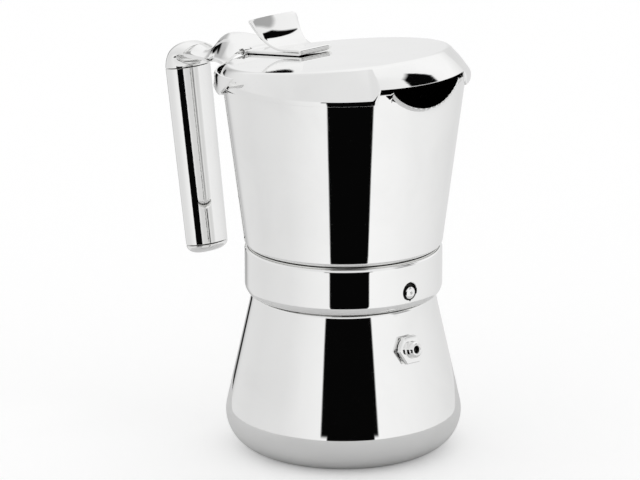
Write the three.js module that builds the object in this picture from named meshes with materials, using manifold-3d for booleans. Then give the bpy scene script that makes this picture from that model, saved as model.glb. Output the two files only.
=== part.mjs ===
// Stovetop moka pot in polished steel: boiler, coffee basket, bayonet collar, jug, hinged lid and bridge handle.
// Millimetres, +Z up. The origin is the centre of the flat base, +X points to the spout, -X to the handle.
import * as THREE from 'three';
import { mergeVertices } from 'three/addons/utils/BufferGeometryUtils.js';
import Module from 'manifold-3d';

const wasm = await Module();
wasm.setup();

// ---------------------------------------------------------------- driving dimensions

const SHEET = 1.0; // pressed steel sheet
const GAP = 0.3; // between neighbouring pieces
const SEGMENTS = 36; // around a turned piece
const EPS = 0.02; // overshoot of a cutting tool past a face it opens

const BOILER = {
  baseRadius: 37.7, baseFillet: 17, coneLean: 0.223, coneTop: 72.57, wall: 1.2,
  shoulderRadius: 2.4, neckRadius: 40.6, neckTop: 90,
};
const VALVE = {
  azimuth: -5.7, height: 56.1, acrossFlats: 12.5, hexThick: 2.2, noseRadius: 3.7, noseLength: 3.7,
  shankRadius: 4, boreRadius: 1.6, washerThick: 0.5,
};
const LUG = { azimuths: [60, 180, 300], halfWidth: 17, low: 77.5, high: 79, ringTop: 84, thick: 0.6, reach: 42.5 };
const PIN = {
  azimuth: -1.6, height: 82.2, headRadius: 2.8, tip: 45.9, headThick: 1, stemRadius: 1.1, bushRadius: 4.6, bushLow: 43.2, bushHigh: 44,
};
const BASKET = {
  radius: 37.6, flangeRadius: 40.4, floor: 64.5, rim: 91.3, wall: 0.9,
  stemRadius: 5, stemLow: 10, stemMouth: 9,
};
const COLLAR = {
  radius: 45.7, low: 74.7, high: 96.3, curlRadius: 6.6, curlHeight: 4.3, lugLow: 75.6, lugHigh: 76.9, lugReach: 42.9,
};
const WINDOW = { azimuth: -2.3, height: 83, radius: 4.15 };
const JUG = {
  floor: 97.2, bottomRadius: 45.6, lean: 0.13, bottomFillet: 2.6, rimHeight: 175.9, rimSlope: 0.091,
  throatRadius: 6.4,
};
const NOTCH = { azimuth: -0.5, halfWidth: 18.6, depth: 10, top: 181 };
const COLUMN = { footRadius: 11, lowRadius: 8, topRadius: 5.4, low: 98.5, high: 160, wall: 1 };
const LID = {
  planeHeight: 185.5, planeSlope: 0.13, flatRadius: 50.8, flatOffset: 3.8, skirtHeight: 174.5, skirtSlope: 0.022,
  rise: 2.2, frontRise: 5.6, beak: 1.3, proud: 1.05, cutHalfWidth: 28, cutHeight: 182.6,
};
const HINGE = { x: -57, z: 178.8, pinRadius: 0.9, knuckleRadius: 1.85, boreRadius: 1.2, halfLength: 10, split: 6 };
const LEVER = { halfWidth: 10, tipHalfWidth: 13.6, thick: 1.2, front: -19.5, foldPitch: 1.5 };
const GRIP = {
  topX: -106, topZ: 162.6, bottomX: -93.7, bottomZ: 78.4, halfWidth: 12.2, halfDepth: 8.3, taper: 0.93, wall: 1.2,
};
const SADDLE = { end: 70, radius: 57.7, thick: 1.2, footLow: 170.9, footHigh: 172.1, below: 1.4 };
const STRAP = { start: -98.5, thick: 1.5, waist: 8.3, wing: 28 };

// ---------------------------------------------------------------- finishes

const finish = (name, color, roughness, metalness) =>
  new THREE.MeshStandardMaterial({ name, color, roughness, metalness });
const polished = () => finish('polished_steel', 0xe6e6e4, 0.08, 1);
const satin = () => finish('satin_steel', 0xc9c9c6, 0.35, 1);
const spring = () => finish('spring_steel', 0xa8a8a6, 0.3, 1);
const silicone = () => finish('seal_silicone', 0xe8e4da, 0.6, 0);

// ---------------------------------------------------------------- geometry helpers

const rad = THREE.MathUtils.degToRad;
const lerp = THREE.MathUtils.lerp;
const smooth = THREE.MathUtils.smoothstep;
const polar = (r, azimuth, z) => new THREE.Vector3(r * Math.cos(rad(azimuth)), r * Math.sin(rad(azimuth)), z);

/** Welds a geometry's vertices and returns it as a solid for joining and cutting. */
function solid(geometry) {
  const bare = geometry.clone();
  for (const name of Object.keys(bare.attributes)) if (name !== 'position') bare.deleteAttribute(name);
  const welded = mergeVertices(bare, 1e-4);
  const index = Array.from(welded.index.array);
  const kept = [];
  for (let i = 0; i < index.length; i += 3) {
    const [a, b, c] = index.slice(i, i + 3);
    if (a !== b && b !== c && c !== a) kept.push(a, b, c);
  }
  return new wasm.Manifold(new wasm.Mesh({
    numProp: 3,
    vertProperties: new Float32Array(welded.attributes.position.array),
    triVerts: new Uint32Array(kept),
  }));
}

/** Turns a solid into a named mesh. */
function piece(name, body, material) {
  const mesh = body.getMesh();
  const geometry = new THREE.BufferGeometry();
  geometry.setAttribute('position', new THREE.BufferAttribute(new Float32Array(mesh.vertProperties), 3));
  geometry.setIndex(Array.from(mesh.triVerts));
  geometry.computeVertexNormals();
  const result = new THREE.Mesh(geometry, material);
  result.name = name;
  return result;
}

/** Profile points along an arc, angles in degrees measured from the outward direction. */
function arc(centreR, centreZ, radius, from, to, steps) {
  return Array.from({ length: steps + 1 }, (_, i) => {
    const a = rad(lerp(from, to, i / steps));
    return [centreR + radius * Math.cos(a), centreZ + radius * Math.sin(a)];
  });
}

/** Turned solid about +Z. The profile runs counter-clockwise in (radius, height); a ring closes on itself. */
function turned(profile, segments = SEGMENTS) {
  const closed = profile[0][0] > 0 ? [...profile, profile[0]] : profile;
  const points = closed.map(([r, z]) => new THREE.Vector2(Math.max(r, 0), z));
  return solid(new THREE.LatheGeometry(points, segments).rotateX(Math.PI / 2));
}

/** Ring with a rectangular section. */
const ring = (inner, outer, low, high, segments = SEGMENTS) =>
  turned([[inner, low], [outer, low], [outer, high], [inner, high]], segments);

/** Disc or rod about +Z. */
const rod = (radius, low, high, segments = 24) =>
  turned([[0, low], [radius, low], [radius, high], [0, high]], segments);

/** Stands a solid that was made about +Z at a point, its axis along a direction and its own Y level. */
function along(body, origin, direction) {
  const axis = direction.clone().normalize();
  const level = new THREE.Vector3(0, 0, 1).cross(axis).normalize();
  const matrix = new THREE.Matrix4().makeBasis(level.clone().cross(axis), level, axis).setPosition(origin);
  return body.transform(matrix.toArray());
}

/** Flat outline in (Y, Z) pushed from low to high X. */
function pushedAlongX(shape, low, high) {
  const geometry = new THREE.ExtrudeGeometry(shape, { depth: high - low, bevelEnabled: false, curveSegments: 10 });
  geometry.rotateX(Math.PI / 2).rotateZ(Math.PI / 2).translate(low, 0, 0);
  return solid(geometry);
}

/** Box between two corners. */
function box([x0, y0, z0], [x1, y1, z1]) {
  const geometry = new THREE.BoxGeometry(x1 - x0, y1 - y0, z1 - z0);
  return solid(geometry.translate((x0 + x1) / 2, (y0 + y1) / 2, (z0 + z1) / 2));
}

/** Solid skinned over closed loops of points; the row of loops ends in two caps or closes on itself. */
function lofted(loops, closed = false) {
  const count = loops[0].length;
  const positions = loops.flat().flatMap((p) => [p.x, p.y, p.z]);
  const index = [];
  const last = closed ? loops.length : loops.length - 1;
  for (let i = 0; i < last; i += 1) {
    const here = i * count;
    const next = ((i + 1) % loops.length) * count;
    for (let j = 0; j < count; j += 1) {
      const k = (j + 1) % count;
      index.push(here + j, here + k, next + k, here + j, next + k, next + j);
    }
  }
  if (!closed) {
    for (let j = 1; j < count - 1; j += 1) {
      const end = (loops.length - 1) * count;
      index.push(0, j + 1, j, end, end + j, end + j + 1);
    }
  }
  const geometry = new THREE.BufferGeometry();
  geometry.setAttribute('position', new THREE.Float32BufferAttribute(positions, 3));
  geometry.setIndex(isInsideOut(positions, index) ? index.reverse() : index);
  return solid(geometry);
}

/** True where a closed mesh's faces point inwards, by its signed volume. */
function isInsideOut(positions, index) {
  const at = (i) => new THREE.Vector3().fromArray(positions, index[i] * 3);
  let volume = 0;
  for (let i = 0; i < index.length; i += 3) volume += at(i).dot(at(i + 1).cross(at(i + 2)));
  return volume < 0;
}

// ---------------------------------------------------------------- boiler

const boilerCone = (z) => BOILER.baseRadius + BOILER.baseFillet * Math.hypot(1, BOILER.coneLean)
  - BOILER.coneLean * (z - BOILER.baseFillet);
const coneTilt = THREE.MathUtils.radToDeg(Math.atan(BOILER.coneLean));

function boilerShell() {
  const { baseRadius, baseFillet, coneTop, wall, shoulderRadius, neckRadius, neckTop } = BOILER;
  const shoulder = [
    boilerCone(coneTop) - shoulderRadius * Math.cos(rad(coneTilt)),
    coneTop - shoulderRadius * Math.sin(rad(coneTilt)),
  ];
  const neckTurn = THREE.MathUtils.radToDeg(Math.acos((neckRadius - shoulder[0]) / shoulderRadius));
  const inner = neckRadius - SHEET;
  const innerTop = coneTop - wall;
  const shell = turned([
    [0, 0],
    ...arc(baseRadius, baseFillet, baseFillet, -90, coneTilt, 6),
    ...arc(...shoulder, shoulderRadius, coneTilt, neckTurn, 3),
    [neckRadius, neckTop],
    [inner, neckTop],
    [inner, coneTop + SHEET],
    [boilerCone(innerTop) - wall, innerTop],
    ...arc(baseRadius, baseFillet, baseFillet - wall, coneTilt, -90, 5),
    [0, wall],
  ]);
  const hole = rod(VALVE.shankRadius + GAP, -6, 6, 20);
  return shell.subtract(along(hole, valveSeat(), valveAxis()));
}

// Safety valve, square to the boiler's cone.
const valveAxis = () => polar(Math.cos(rad(coneTilt)), VALVE.azimuth, Math.sin(rad(coneTilt)));
const valveSeat = () => polar(boilerCone(VALVE.height), VALVE.azimuth, VALVE.height);

/** Hexagonal prism about +Z. */
function hexagon(acrossFlats, low, high) {
  const geometry = new THREE.CylinderGeometry(acrossFlats / Math.sqrt(3), acrossFlats / Math.sqrt(3), high - low, 6);
  return solid(geometry.rotateX(Math.PI / 2).translate(0, 0, (low + high) / 2));
}

function valvePieces() {
  const { acrossFlats, hexThick, noseRadius, noseLength, shankRadius, boreRadius, washerThick } = VALVE;
  const hexLow = GAP + washerThick + GAP;
  const hexHigh = hexLow + hexThick;
  const tip = hexHigh + noseLength;
  const wallHollow = 0.7; // how far the curved wall stands in front of a flat nut
  const inside = -(BOILER.wall + GAP + wallHollow);
  const nutThick = 2.5;
  const seat = valveSeat();
  const axis = valveAxis();
  const stand = (name, body, material) => piece(name, along(body, seat, axis), material);

  const body = hexagon(acrossFlats, hexLow, hexHigh)
    .add(turned([[0, hexLow], [noseRadius, hexLow], [noseRadius, tip - 1], [noseRadius - 1, tip], [0, tip]], 24))
    .add(rod(shankRadius, inside - nutThick - 1, hexLow + EPS, 20))
    .subtract(rod(boreRadius + 1, inside - nutThick - 1 - EPS, hexHigh, 16))
    .subtract(rod(boreRadius, inside - nutThick, tip + EPS, 16));
  const washer = ring(shankRadius + GAP, acrossFlats / 2 - 0.2, GAP, GAP + washerThick, 24);
  const nut = hexagon(acrossFlats - 2, inside - nutThick, inside).subtract(rod(shankRadius + GAP, -9, 0, 20));
  const plungerHead = -1.5;
  const plunger = turned([
    [0, plungerHead - 1], [boreRadius + 0.6, plungerHead - 1], [boreRadius + 0.6, plungerHead],
    [boreRadius - GAP, plungerHead], [boreRadius - GAP, tip - 2], [0, tip - 1.4],
  ], 16);
  const coil = ring(boreRadius, boreRadius + 0.7, plungerHead + GAP, hexHigh - 1.5, 16);
  return [
    stand('valve_body', body, polished()),
    stand('valve_washer', washer, polished()),
    stand('valve_nut', nut, satin()),
    stand('valve_plunger', plunger, satin()),
    stand('valve_spring', coil, spring()),
  ];
}

/** Piece of a ring between two azimuths, widened to both sides of a middle one. */
function ringSegment(inner, outer, low, high, azimuth, halfWidth) {
  const steps = 6;
  const loops = Array.from({ length: steps + 1 }, (_, i) => {
    const a = azimuth + lerp(-halfWidth, halfWidth, i / steps);
    return [polar(inner, a, low), polar(outer, a, low), polar(outer, a, high), polar(inner, a, high)];
  });
  return lofted(loops);
}

/** Ring on the boiler's neck with the outward lugs of the bayonet. */
function lugRing() {
  const inner = BOILER.neckRadius + GAP;
  let body = ring(inner, inner + LUG.thick, LUG.low, LUG.ringTop);
  for (const azimuth of LUG.azimuths) {
    body = body.add(ringSegment(inner + 0.2, LUG.reach, LUG.low, LUG.high, azimuth, LUG.halfWidth));
  }
  return body;
}

// ---------------------------------------------------------------- coffee basket

function basketCup() {
  const { radius, flangeRadius, floor, rim, wall, stemRadius } = BASKET;
  const flangeLow = BOILER.neckTop + GAP;
  const neck = stemRadius + GAP;
  return turned([
    [neck, floor], [radius - 2, floor], ...arc(radius - 2, floor + 2, 2, -60, 0, 2),
    [radius, flangeLow], [flangeRadius, flangeLow], [flangeRadius, rim], [radius - wall, rim],
    [radius - wall, floor + 2], [radius - 2, floor + wall], [neck, floor + wall],
  ]);
}

/** Perforated coffee floor of the basket. */
function basketSieve() {
  const low = BASKET.floor + BASKET.wall + 1.6;
  return perforated(rod(BASKET.radius - BASKET.wall - GAP, low, low + 0.7, SEGMENTS), low, low + 0.7, 24, 1.1);
}

/** Cuts rings of round holes through a disc, spaced evenly. */
function perforated(disc, low, high, reach, holeRadius) {
  const rings = 2;
  let body = disc.subtract(rod(holeRadius, low - 1, high + 1, 6));
  for (let i = 1; i <= rings; i += 1) {
    const count = 6 * i;
    for (let j = 0; j < count; j += 1) {
      const centre = polar((reach * i) / rings, (360 * j) / count, 0);
      body = body.subtract(rod(holeRadius, low - 1, high + 1, 6).translate([centre.x, centre.y, 0]));
    }
  }
  return body;
}

function funnelStem() {
  const { stemRadius, stemLow, stemMouth, floor, wall } = BASKET;
  const top = floor - GAP;
  return turned([
    [stemRadius - wall, stemLow], [stemRadius, stemLow], [stemRadius, top - 3], [stemMouth, top],
    [stemMouth - 1.2, top], [stemRadius - wall, top - 2.4],
  ], 24);
}

// ---------------------------------------------------------------- seal under the jug

const gasketLow = BASKET.rim + GAP;
const gasketHigh = gasketLow + 3;
const sealRadius = BOILER.neckRadius + 0.9;

const gasket = () => ring(BASKET.radius - 3.6, sealRadius, gasketLow, gasketHigh);

/** Dished filter plate whose rim lies on the gasket. */
function filterPlate() {
  const rimLow = gasketHigh + GAP;
  const thick = 0.8;
  const bowl = BASKET.radius - 4.4;
  const dishLow = rimLow - 2.4;
  const dish = turned([
    [0, dishLow], [bowl - 1.5, dishLow], [bowl, rimLow], [sealRadius, rimLow], [sealRadius, rimLow + thick],
    [bowl - 0.6, rimLow + thick], [bowl - 2.1, dishLow + thick], [0, dishLow + thick],
  ]);
  return perforated(dish, dishLow, dishLow + thick, 25, 1.1);
}

// ---------------------------------------------------------------- jug and collar

const jugWall = (z) => JUG.bottomRadius + JUG.lean * (z - JUG.floor);
const rimPlane = (x) => JUG.rimHeight + JUG.rimSlope * x;

/** Wedge of space above the sloping plane height + slope * x. */
function spaceAbove(height, slope) {
  const reach = 120;
  const outline = [[-reach, height - slope * reach], [reach, height + slope * reach], [reach, 300], [-reach, 300]];
  const loops = [-reach, reach].map((y) => outline.map(([x, z]) => new THREE.Vector3(x, y, z)));
  return lofted(loops);
}

/** U-shaped pouring notch, pushed out through the front of the wall. */
function notchTool() {
  const shape = new THREE.Shape();
  shape.moveTo(NOTCH.halfWidth, NOTCH.top + 8);
  shape.lineTo(NOTCH.halfWidth, NOTCH.top);
  shape.absellipse(0, NOTCH.top, NOTCH.halfWidth, NOTCH.depth, 0, Math.PI, true);
  shape.lineTo(-NOTCH.halfWidth, NOTCH.top + 8);
  const tool = pushedAlongX(shape, 35, 70);
  return tool.rotate([0, 0, NOTCH.azimuth]);
}

function jugShell() {
  const { floor, bottomFillet, throatRadius } = JUG;
  const lean = THREE.MathUtils.radToDeg(Math.atan(JUG.lean));
  const corner = jugWall(floor + bottomFillet) - bottomFillet;
  const top = rimPlane(60) + 2;
  return turned([
    [throatRadius, floor],
    ...arc(corner, floor + bottomFillet, bottomFillet, -90, -lean, 4),
    [jugWall(top), top],
    [jugWall(top) - SHEET, top],
    ...arc(corner, floor + bottomFillet, bottomFillet - SHEET, -lean, -90, 3),
    [throatRadius, floor + SHEET],
  ]).subtract(spaceAbove(JUG.rimHeight, JUG.rimSlope)).subtract(notchTool());
}

/** Ring under the jug's floor that houses the seal and carries the collar. */
function seatRing() {
  const inner = sealRadius + 0.4;
  const roof = gasketHigh + GAP + 0.8 + GAP;
  const top = JUG.floor - GAP;
  const outer = COLLAR.radius - SHEET - GAP;
  return turned([
    [inner, roof - 7.6], [outer, roof - 7.6], [outer, top], [inner - 6, top], [inner - 6, roof], [inner, roof],
  ]);
}

function collar() {
  const { radius, low, high, curlRadius, curlHeight, lugLow, lugHigh, lugReach } = COLLAR;
  const inner = radius - SHEET;
  const curlTurn = THREE.MathUtils.radToDeg(Math.asin(curlHeight / curlRadius));
  const curlCentre = [radius - curlRadius, low + curlHeight];
  const topRound = 1.5;
  let body = turned([
    ...arc(...curlCentre, curlRadius, -curlTurn, 0, 4),
    ...arc(radius - topRound, high - topRound, topRound, 0, 70, 3),
    [inner, high - 0.3],
    ...arc(...curlCentre, curlRadius - SHEET, 0, -curlTurn, 3),
  ]);
  for (const azimuth of LUG.azimuths) {
    body = body.add(ringSegment(lugReach, inner - 0.4, lugLow, lugHigh, azimuth, LUG.halfWidth));
  }
  const window = rod(WINDOW.radius, radius - 6, radius + 3, 28);
  return body.subtract(along(window, polar(0, 0, WINDOW.height), polar(1, WINDOW.azimuth, 0)));
}

/** Sprung lock pin in the collar's window, with the bush that guides its stem and the spring behind its head. */
function lockPinPieces() {
  const { azimuth, height, headRadius, tip, headThick, stemRadius, bushRadius, bushLow, bushHigh } = PIN;
  const stand = (name, body, material) =>
    piece(name, along(body, polar(0, 0, height), polar(1, azimuth, 0)), material);
  const headBack = tip - headThick;
  const domeRadius = 7;
  const domeTurn = THREE.MathUtils.radToDeg(Math.asin(headRadius / domeRadius));
  const dimple = 0.45;
  const circlip = stemRadius + 0.8;
  const pin = turned([
    [0, bushLow - 0.6], [circlip, bushLow - 0.6], [circlip, bushLow - GAP / 2], [stemRadius, bushLow - GAP / 2],
    [stemRadius, headBack], [headRadius, headBack],
    ...arc(0, tip - domeRadius, domeRadius, 90 - domeTurn, 86, 4), [dimple, tip - 0.5], [0, tip - 0.5],
  ], 20);
  return [
    stand('lock_pin_bush', ring(stemRadius + GAP, bushRadius, bushLow, bushHigh, 24), satin()),
    stand('lock_pin_spring', ring(stemRadius + GAP, headRadius - 0.6, bushHigh + 0.05, headBack - 0.05, 20), spring()),
    stand('lock_pin', pin, polished()),
  ];
}

function column() {
  const { footRadius, lowRadius, topRadius, low, high, wall } = COLUMN;
  return turned([
    [lowRadius - wall - 0.6, low], [footRadius, low], [footRadius, low + wall], [lowRadius + 0.6, low + wall],
    [lowRadius, low + 3], [topRadius, high], [topRadius - wall, high], [lowRadius - wall, low + 3],
  ], 24);
}

/** Cap with side slots that turns the rising coffee down into the jug. */
function columnCap() {
  const { topRadius, high } = COLUMN;
  const bore = topRadius + GAP;
  const outer = bore + 1;
  const cap = turned([
    [bore, high - 5], [outer, high - 5], [outer, high + 7], ...arc(0, high + 1.3, 8.7, 45, 80, 3), [0, high + 10],
    [0, high + 9], ...arc(0, high + 1.3, 7.6, 80, 50, 2), [bore, high + 6.4],
  ], 24);
  const slot = box([-12, -2, high + 1.5], [12, 2, high + 5]);
  return cap.subtract(slot);
}

// ---------------------------------------------------------------- lid

const lidPlane = (x) => LID.planeHeight + LID.planeSlope * x;
const skirtPlane = (x) => LID.skirtHeight + LID.skirtSlope * x;

/** Outer section of the lid at an azimuth, from the edge of the flat top to the skirt's lower edge. */
function lidSection(azimuth) {
  const c = Math.cos(rad(azimuth));
  const flatR = LID.flatRadius - LID.flatOffset * c;
  const flatZ = lidPlane(flatR * c);
  const skirtZ = skirtPlane(jugWall(LID.skirtHeight) * c);
  const turn = Math.abs(((azimuth + 540) % 360) - 180);
  const front = 1 - smooth(turn, 50, 100);
  const edgeZ = skirtZ + lerp(LID.frontRise, LID.rise, smooth(turn, 26, 46));
  const edgeR = jugWall(edgeZ) + LID.proud + LID.beak * front;
  const skirtR = jugWall(skirtZ) + LID.proud;
  const bend = 1.2;
  return [
    [flatR - bend, flatZ - LID.planeSlope * bend * c], [flatR + 0.35, flatZ - 0.5],
    [lerp(flatR, edgeR, 0.6), lerp(flatZ, edgeZ, 0.42)], [edgeR - 0.5, edgeZ + 1.3], [edgeR, edgeZ],
    [skirtR, skirtZ],
  ];
}

function lidShell() {
  const steps = 48;
  const loops = Array.from({ length: steps }, (_, i) => {
    const azimuth = (360 * i) / steps;
    const outer = lidSection(azimuth);
    const slip = [0, 0.5, 0.8, 0.95, 1, 0.6];
    const drop = [1, 0.9, 0.55, 0.3, 0.1, 0];
    const inner = outer.map(([r, z], j) => [r - slip[j] * SHEET, z - drop[j] * SHEET]).reverse();
    return [[0, lidPlane(0)], ...outer, ...inner, [0, lidPlane(0) - SHEET]].map(([r, z]) => polar(r, azimuth, z));
  });
  const cut = box([30, -LID.cutHalfWidth, 150], [80, LID.cutHalfWidth, LID.cutHeight]);
  return lofted(loops, true).subtract(cut);
}

/** Bent strip of sheet: stations hold x, z and half width, thickened to both sides of the line. */
function strip(stations, thick) {
  const loops = stations.map(([x, z, half], i) => {
    const [x0, z0] = stations[Math.max(i - 1, 0)];
    const [x1, z1] = stations[Math.min(i + 1, stations.length - 1)];
    const length = Math.hypot(x1 - x0, z1 - z0);
    const [nx, nz] = [(-(z1 - z0) / length) * (thick / 2), ((x1 - x0) / length) * (thick / 2)];
    return [[-1, -half], [1, -half], [1, half], [-1, half]]
      .map(([side, y]) => new THREE.Vector3(x + side * nx, y, z + side * nz));
  });
  return lofted(loops);
}

/** Folded thumb lever: a plate on the lid, a hairpin at the front and a flared rest that leans back. */
function lidLever() {
  const { halfWidth, tipHalfWidth, thick, front, foldPitch } = LEVER;
  const lift = 0.35 + thick / 2;
  const low = (x) => lidPlane(x) + lift;
  const foldRadius = foldPitch / 2;
  const foldZ = low(front) + foldRadius;
  const fold = [-60, -20, 20, 60].map((a) => [
    front + foldRadius * Math.cos(rad(a)), foldZ + foldRadius * Math.sin(rad(a)), halfWidth,
  ]);
  const restFoot = [-31, low(-31) + foldPitch];
  const rest = new THREE.CubicBezierCurve(
    new THREE.Vector2(...restFoot), new THREE.Vector2(-38, restFoot[1] - 0.2),
    new THREE.Vector2(-45, 188.6), new THREE.Vector2(-49.2, 195.6),
  );
  const flare = Array.from({ length: 9 }, (_, i) => {
    const t = i / 8;
    const point = rest.getPoint(t);
    const corner = i === 8 ? 1.5 : 0;
    return [point.x, point.y, lerp(halfWidth, tipHalfWidth, t ** 1.4) - corner];
  });
  const body = strip([
    [HINGE.x + 0.5, HINGE.z + HINGE.knuckleRadius - thick / 2, HINGE.split - GAP],
    [HINGE.x + 2.6, HINGE.z + HINGE.knuckleRadius - thick / 2 - 0.15, HINGE.split - GAP],
    [HINGE.x + 3.4, low(HINGE.x + 3.4) + 0.1, halfWidth],
    [HINGE.x + 6, low(HINGE.x + 6), halfWidth],
    [front, low(front), halfWidth], ...fold, [front, low(front) + foldPitch, halfWidth], ...flare,
  ], thick);
  const knuckle = hingeBarrel(HINGE.knuckleRadius, -HINGE.split + GAP, HINGE.split - GAP);
  const bore = hingeBarrel(HINGE.boreRadius, -HINGE.split, HINGE.split);
  return body.add(knuckle).subtract(bore);
}

/** Cylinder on the hinge axis between two Y values. */
function hingeBarrel(radius, low, high) {
  return along(rod(radius, low, high, 20), new THREE.Vector3(HINGE.x, 0, HINGE.z), new THREE.Vector3(0, 1, 0));
}

// ---------------------------------------------------------------- bridge and handle

/** Crest line of the bridge on its middle plane. */
const crest = new THREE.SplineCurve([
  [-98.5, 174.6], [-91.8, 173.5], [-86.2, 176.1], [-80.5, 181.2], [-74.8, 183.7], [-67.4, 182.9], [-59.3, 179.9],
].map(([x, z]) => new THREE.Vector2(x, z)));

/** Height of the bridge's top at a share of its length, t, and of its half width, v. */
function bridgeTop(t, v, edgeZ) {
  const top = crest.getPoint(t).y;
  const flat = 0.42 * smooth(t, 0.55, 1);
  const fall = THREE.MathUtils.clamp((Math.abs(v) - flat) / (1 - flat), 0, 1);
  return lerp(top, edgeZ, smooth(fall, 0, 1));
}

function bridgePlate() {
  const { thick, waist, wing } = STRAP;
  const rows = 16;
  const across = [-1, -0.8, -0.6, -0.42, -0.2, 0, 0.2, 0.42, 0.6, 0.8, 1];
  const waistAt = 0.3;
  const grid = Array.from({ length: rows + 1 }, (_, i) => {
    const t = i / rows;
    const half = t < waistAt
      ? lerp(10.6, waist, smooth(t, 0, waistAt))
      : lerp(waist, wing, ((t - waistAt) / (1 - waistAt)) ** 1.35);
    return across.map((v) => {
      const endY = Math.abs(v) * wing;
      const endX = endY < HINGE.halfLength + 2 ? HINGE.x - 2.3 : -Math.sqrt((SADDLE.radius + 0.2) ** 2 - endY ** 2);
      const midX = crest.getPoint(t).x;
      const shift = (endX - (HINGE.x - 2.3)) * t ** 2;
      const x = midX + shift;
      const edgeZ = lerp(174.4, lidPlane(endX) - SADDLE.below, smooth(t, 0.45, 1));
      return new THREE.Vector3(x, v * half, bridgeTop(t, v, edgeZ));
    });
  });
  const loops = grid.map((row) => [...row, ...row.map((p) => new THREE.Vector3(p.x, p.y, p.z - thick)).reverse()]);
  return loftedStrip(loops);
}

/** Skin over thin loops whose second half runs back under the first, capped across the thickness. */
function loftedStrip(loops) {
  const half = loops[0].length / 2;
  let body = null;
  for (let j = 0; j < half - 1; j += 1) {
    const cell = loops.map((loop) => [loop[j], loop[j + 1], loop[2 * half - 2 - j], loop[2 * half - 1 - j]]);
    const part = lofted(cell);
    body = body ? body.add(part) : part;
  }
  return body;
}

/** Saddle round the back of the rim, with a foot that meets the jug's wall under the lid's skirt. */
function rimSaddle() {
  const { end, radius, thick, footLow, footHigh, below } = SADDLE;
  const steps = 20;
  const endLean = 7;
  const loops = Array.from({ length: steps + 1 }, (_, i) => {
    const share = lerp(-1, 1, i / steps);
    const at = (r, z, lean) => polar(r, 180 + share * (end + lean * endLean), z);
    const topZ = lidPlane(radius * Math.cos(rad(180 + share * end))) - below;
    const foot = jugWall(footLow) + GAP;
    return [
      at(foot, footLow, -1), at(radius + thick, footLow, -1), at(radius + thick + 0.5, footHigh, -0.8),
      at(radius + thick + 0.3, topZ - 1.2, 0.9), at(radius + thick - 0.4, topZ, 1), at(radius, topZ, 1),
      at(radius, footHigh, -0.8), at(foot, footHigh, -0.8),
    ];
  });
  const web = loops.map((loop) => loop.slice(1, 7));
  const foot = loops.map((loop) => [loop[0], loop[1], loop[2], loop[6], loop[7]]);
  return lofted(web).add(lofted(foot));
}

/** One pressed bridge: saddle, strap with its hump, and the two outer hinge knuckles. */
function bridge() {
  const { x, z, knuckleRadius, boreRadius, halfLength, split } = HINGE;
  let body = bridgePlate().add(rimSaddle());
  for (const side of [-1, 1]) {
    const [low, high] = [side * split, side * halfLength].sort((a, b) => a - b);
    body = body.add(hingeBarrel(knuckleRadius, low, high));
    body = body.add(box([x - 3.4, low, z - 1], [x - 0.5, high, z + 0.8]));
  }
  return body.subtract(hingeBarrel(boreRadius, -halfLength - EPS, halfLength + EPS));
}

const hingePin = () => hingeBarrel(HINGE.pinRadius, -HINGE.halfLength - 0.4, HINGE.halfLength + 0.4);

/** Centre of the grip's axis at a share of its length from the top. */
const gripAxis = (t) => new THREE.Vector3(lerp(GRIP.topX, GRIP.bottomX, t), 0, lerp(GRIP.topZ, GRIP.bottomZ, t));

/** Oval loop square to a direction in the XZ plane. */
function oval(centre, direction, halfDepth, halfWidth, count = 28) {
  const side = new THREE.Vector3(direction.z, 0, -direction.x).normalize();
  return Array.from({ length: count }, (_, i) => {
    const a = (2 * Math.PI * i) / count;
    return centre.clone().addScaledVector(side, halfDepth * Math.cos(a))
      .add(new THREE.Vector3(0, halfWidth * Math.sin(a), 0));
  });
}

const gripDirection = gripAxis(0).sub(gripAxis(1)).normalize();

function gripTube() {
  const { halfDepth, halfWidth, taper, wall } = GRIP;
  const loop = (t, inset) => {
    const scale = lerp(1, taper, t);
    return oval(gripAxis(t), gripDirection, halfDepth * scale - inset, halfWidth * scale - inset);
  };
  return lofted([loop(0, 0), loop(0.5, 0), loop(1, 0), loop(1, wall), loop(0.5, wall), loop(0, wall)], true);
}

/** Domed plug that closes the grip's lower end. */
function gripCap() {
  const { halfDepth, halfWidth, taper } = GRIP;
  const dome = 4.2;
  const loops = [0, 0.3, 0.6, 0.85, 1].map((s) => {
    const inset = dome * (1 - Math.sqrt(1 - s ** 2)) * 0.8;
    const centre = gripAxis(1).addScaledVector(gripDirection, -GAP - dome * s);
    return oval(centre, gripDirection, halfDepth * taper - inset, halfWidth * taper - inset);
  });
  return lofted(loops);
}

/** Elbow that turns the oval grip over into the flat strap. */
function gripElbow() {
  const path = new THREE.CubicBezierCurve3(
    gripAxis(0).addScaledVector(gripDirection, GAP), gripAxis(0).addScaledVector(gripDirection, 6),
    new THREE.Vector3(-106.5, 0, 173.6), new THREE.Vector3(STRAP.start - GAP, 0, 173.5),
  );
  const steps = 8;
  const loops = Array.from({ length: steps + 1 }, (_, i) => {
    const t = i / steps;
    const depth = lerp(GRIP.halfDepth, 1.1, smooth(t, 0, 0.95));
    return oval(path.getPoint(t), path.getTangent(t), depth, lerp(GRIP.halfWidth, 10.4, t));
  });
  return lofted(loops);
}

// ---------------------------------------------------------------- assembly

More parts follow.
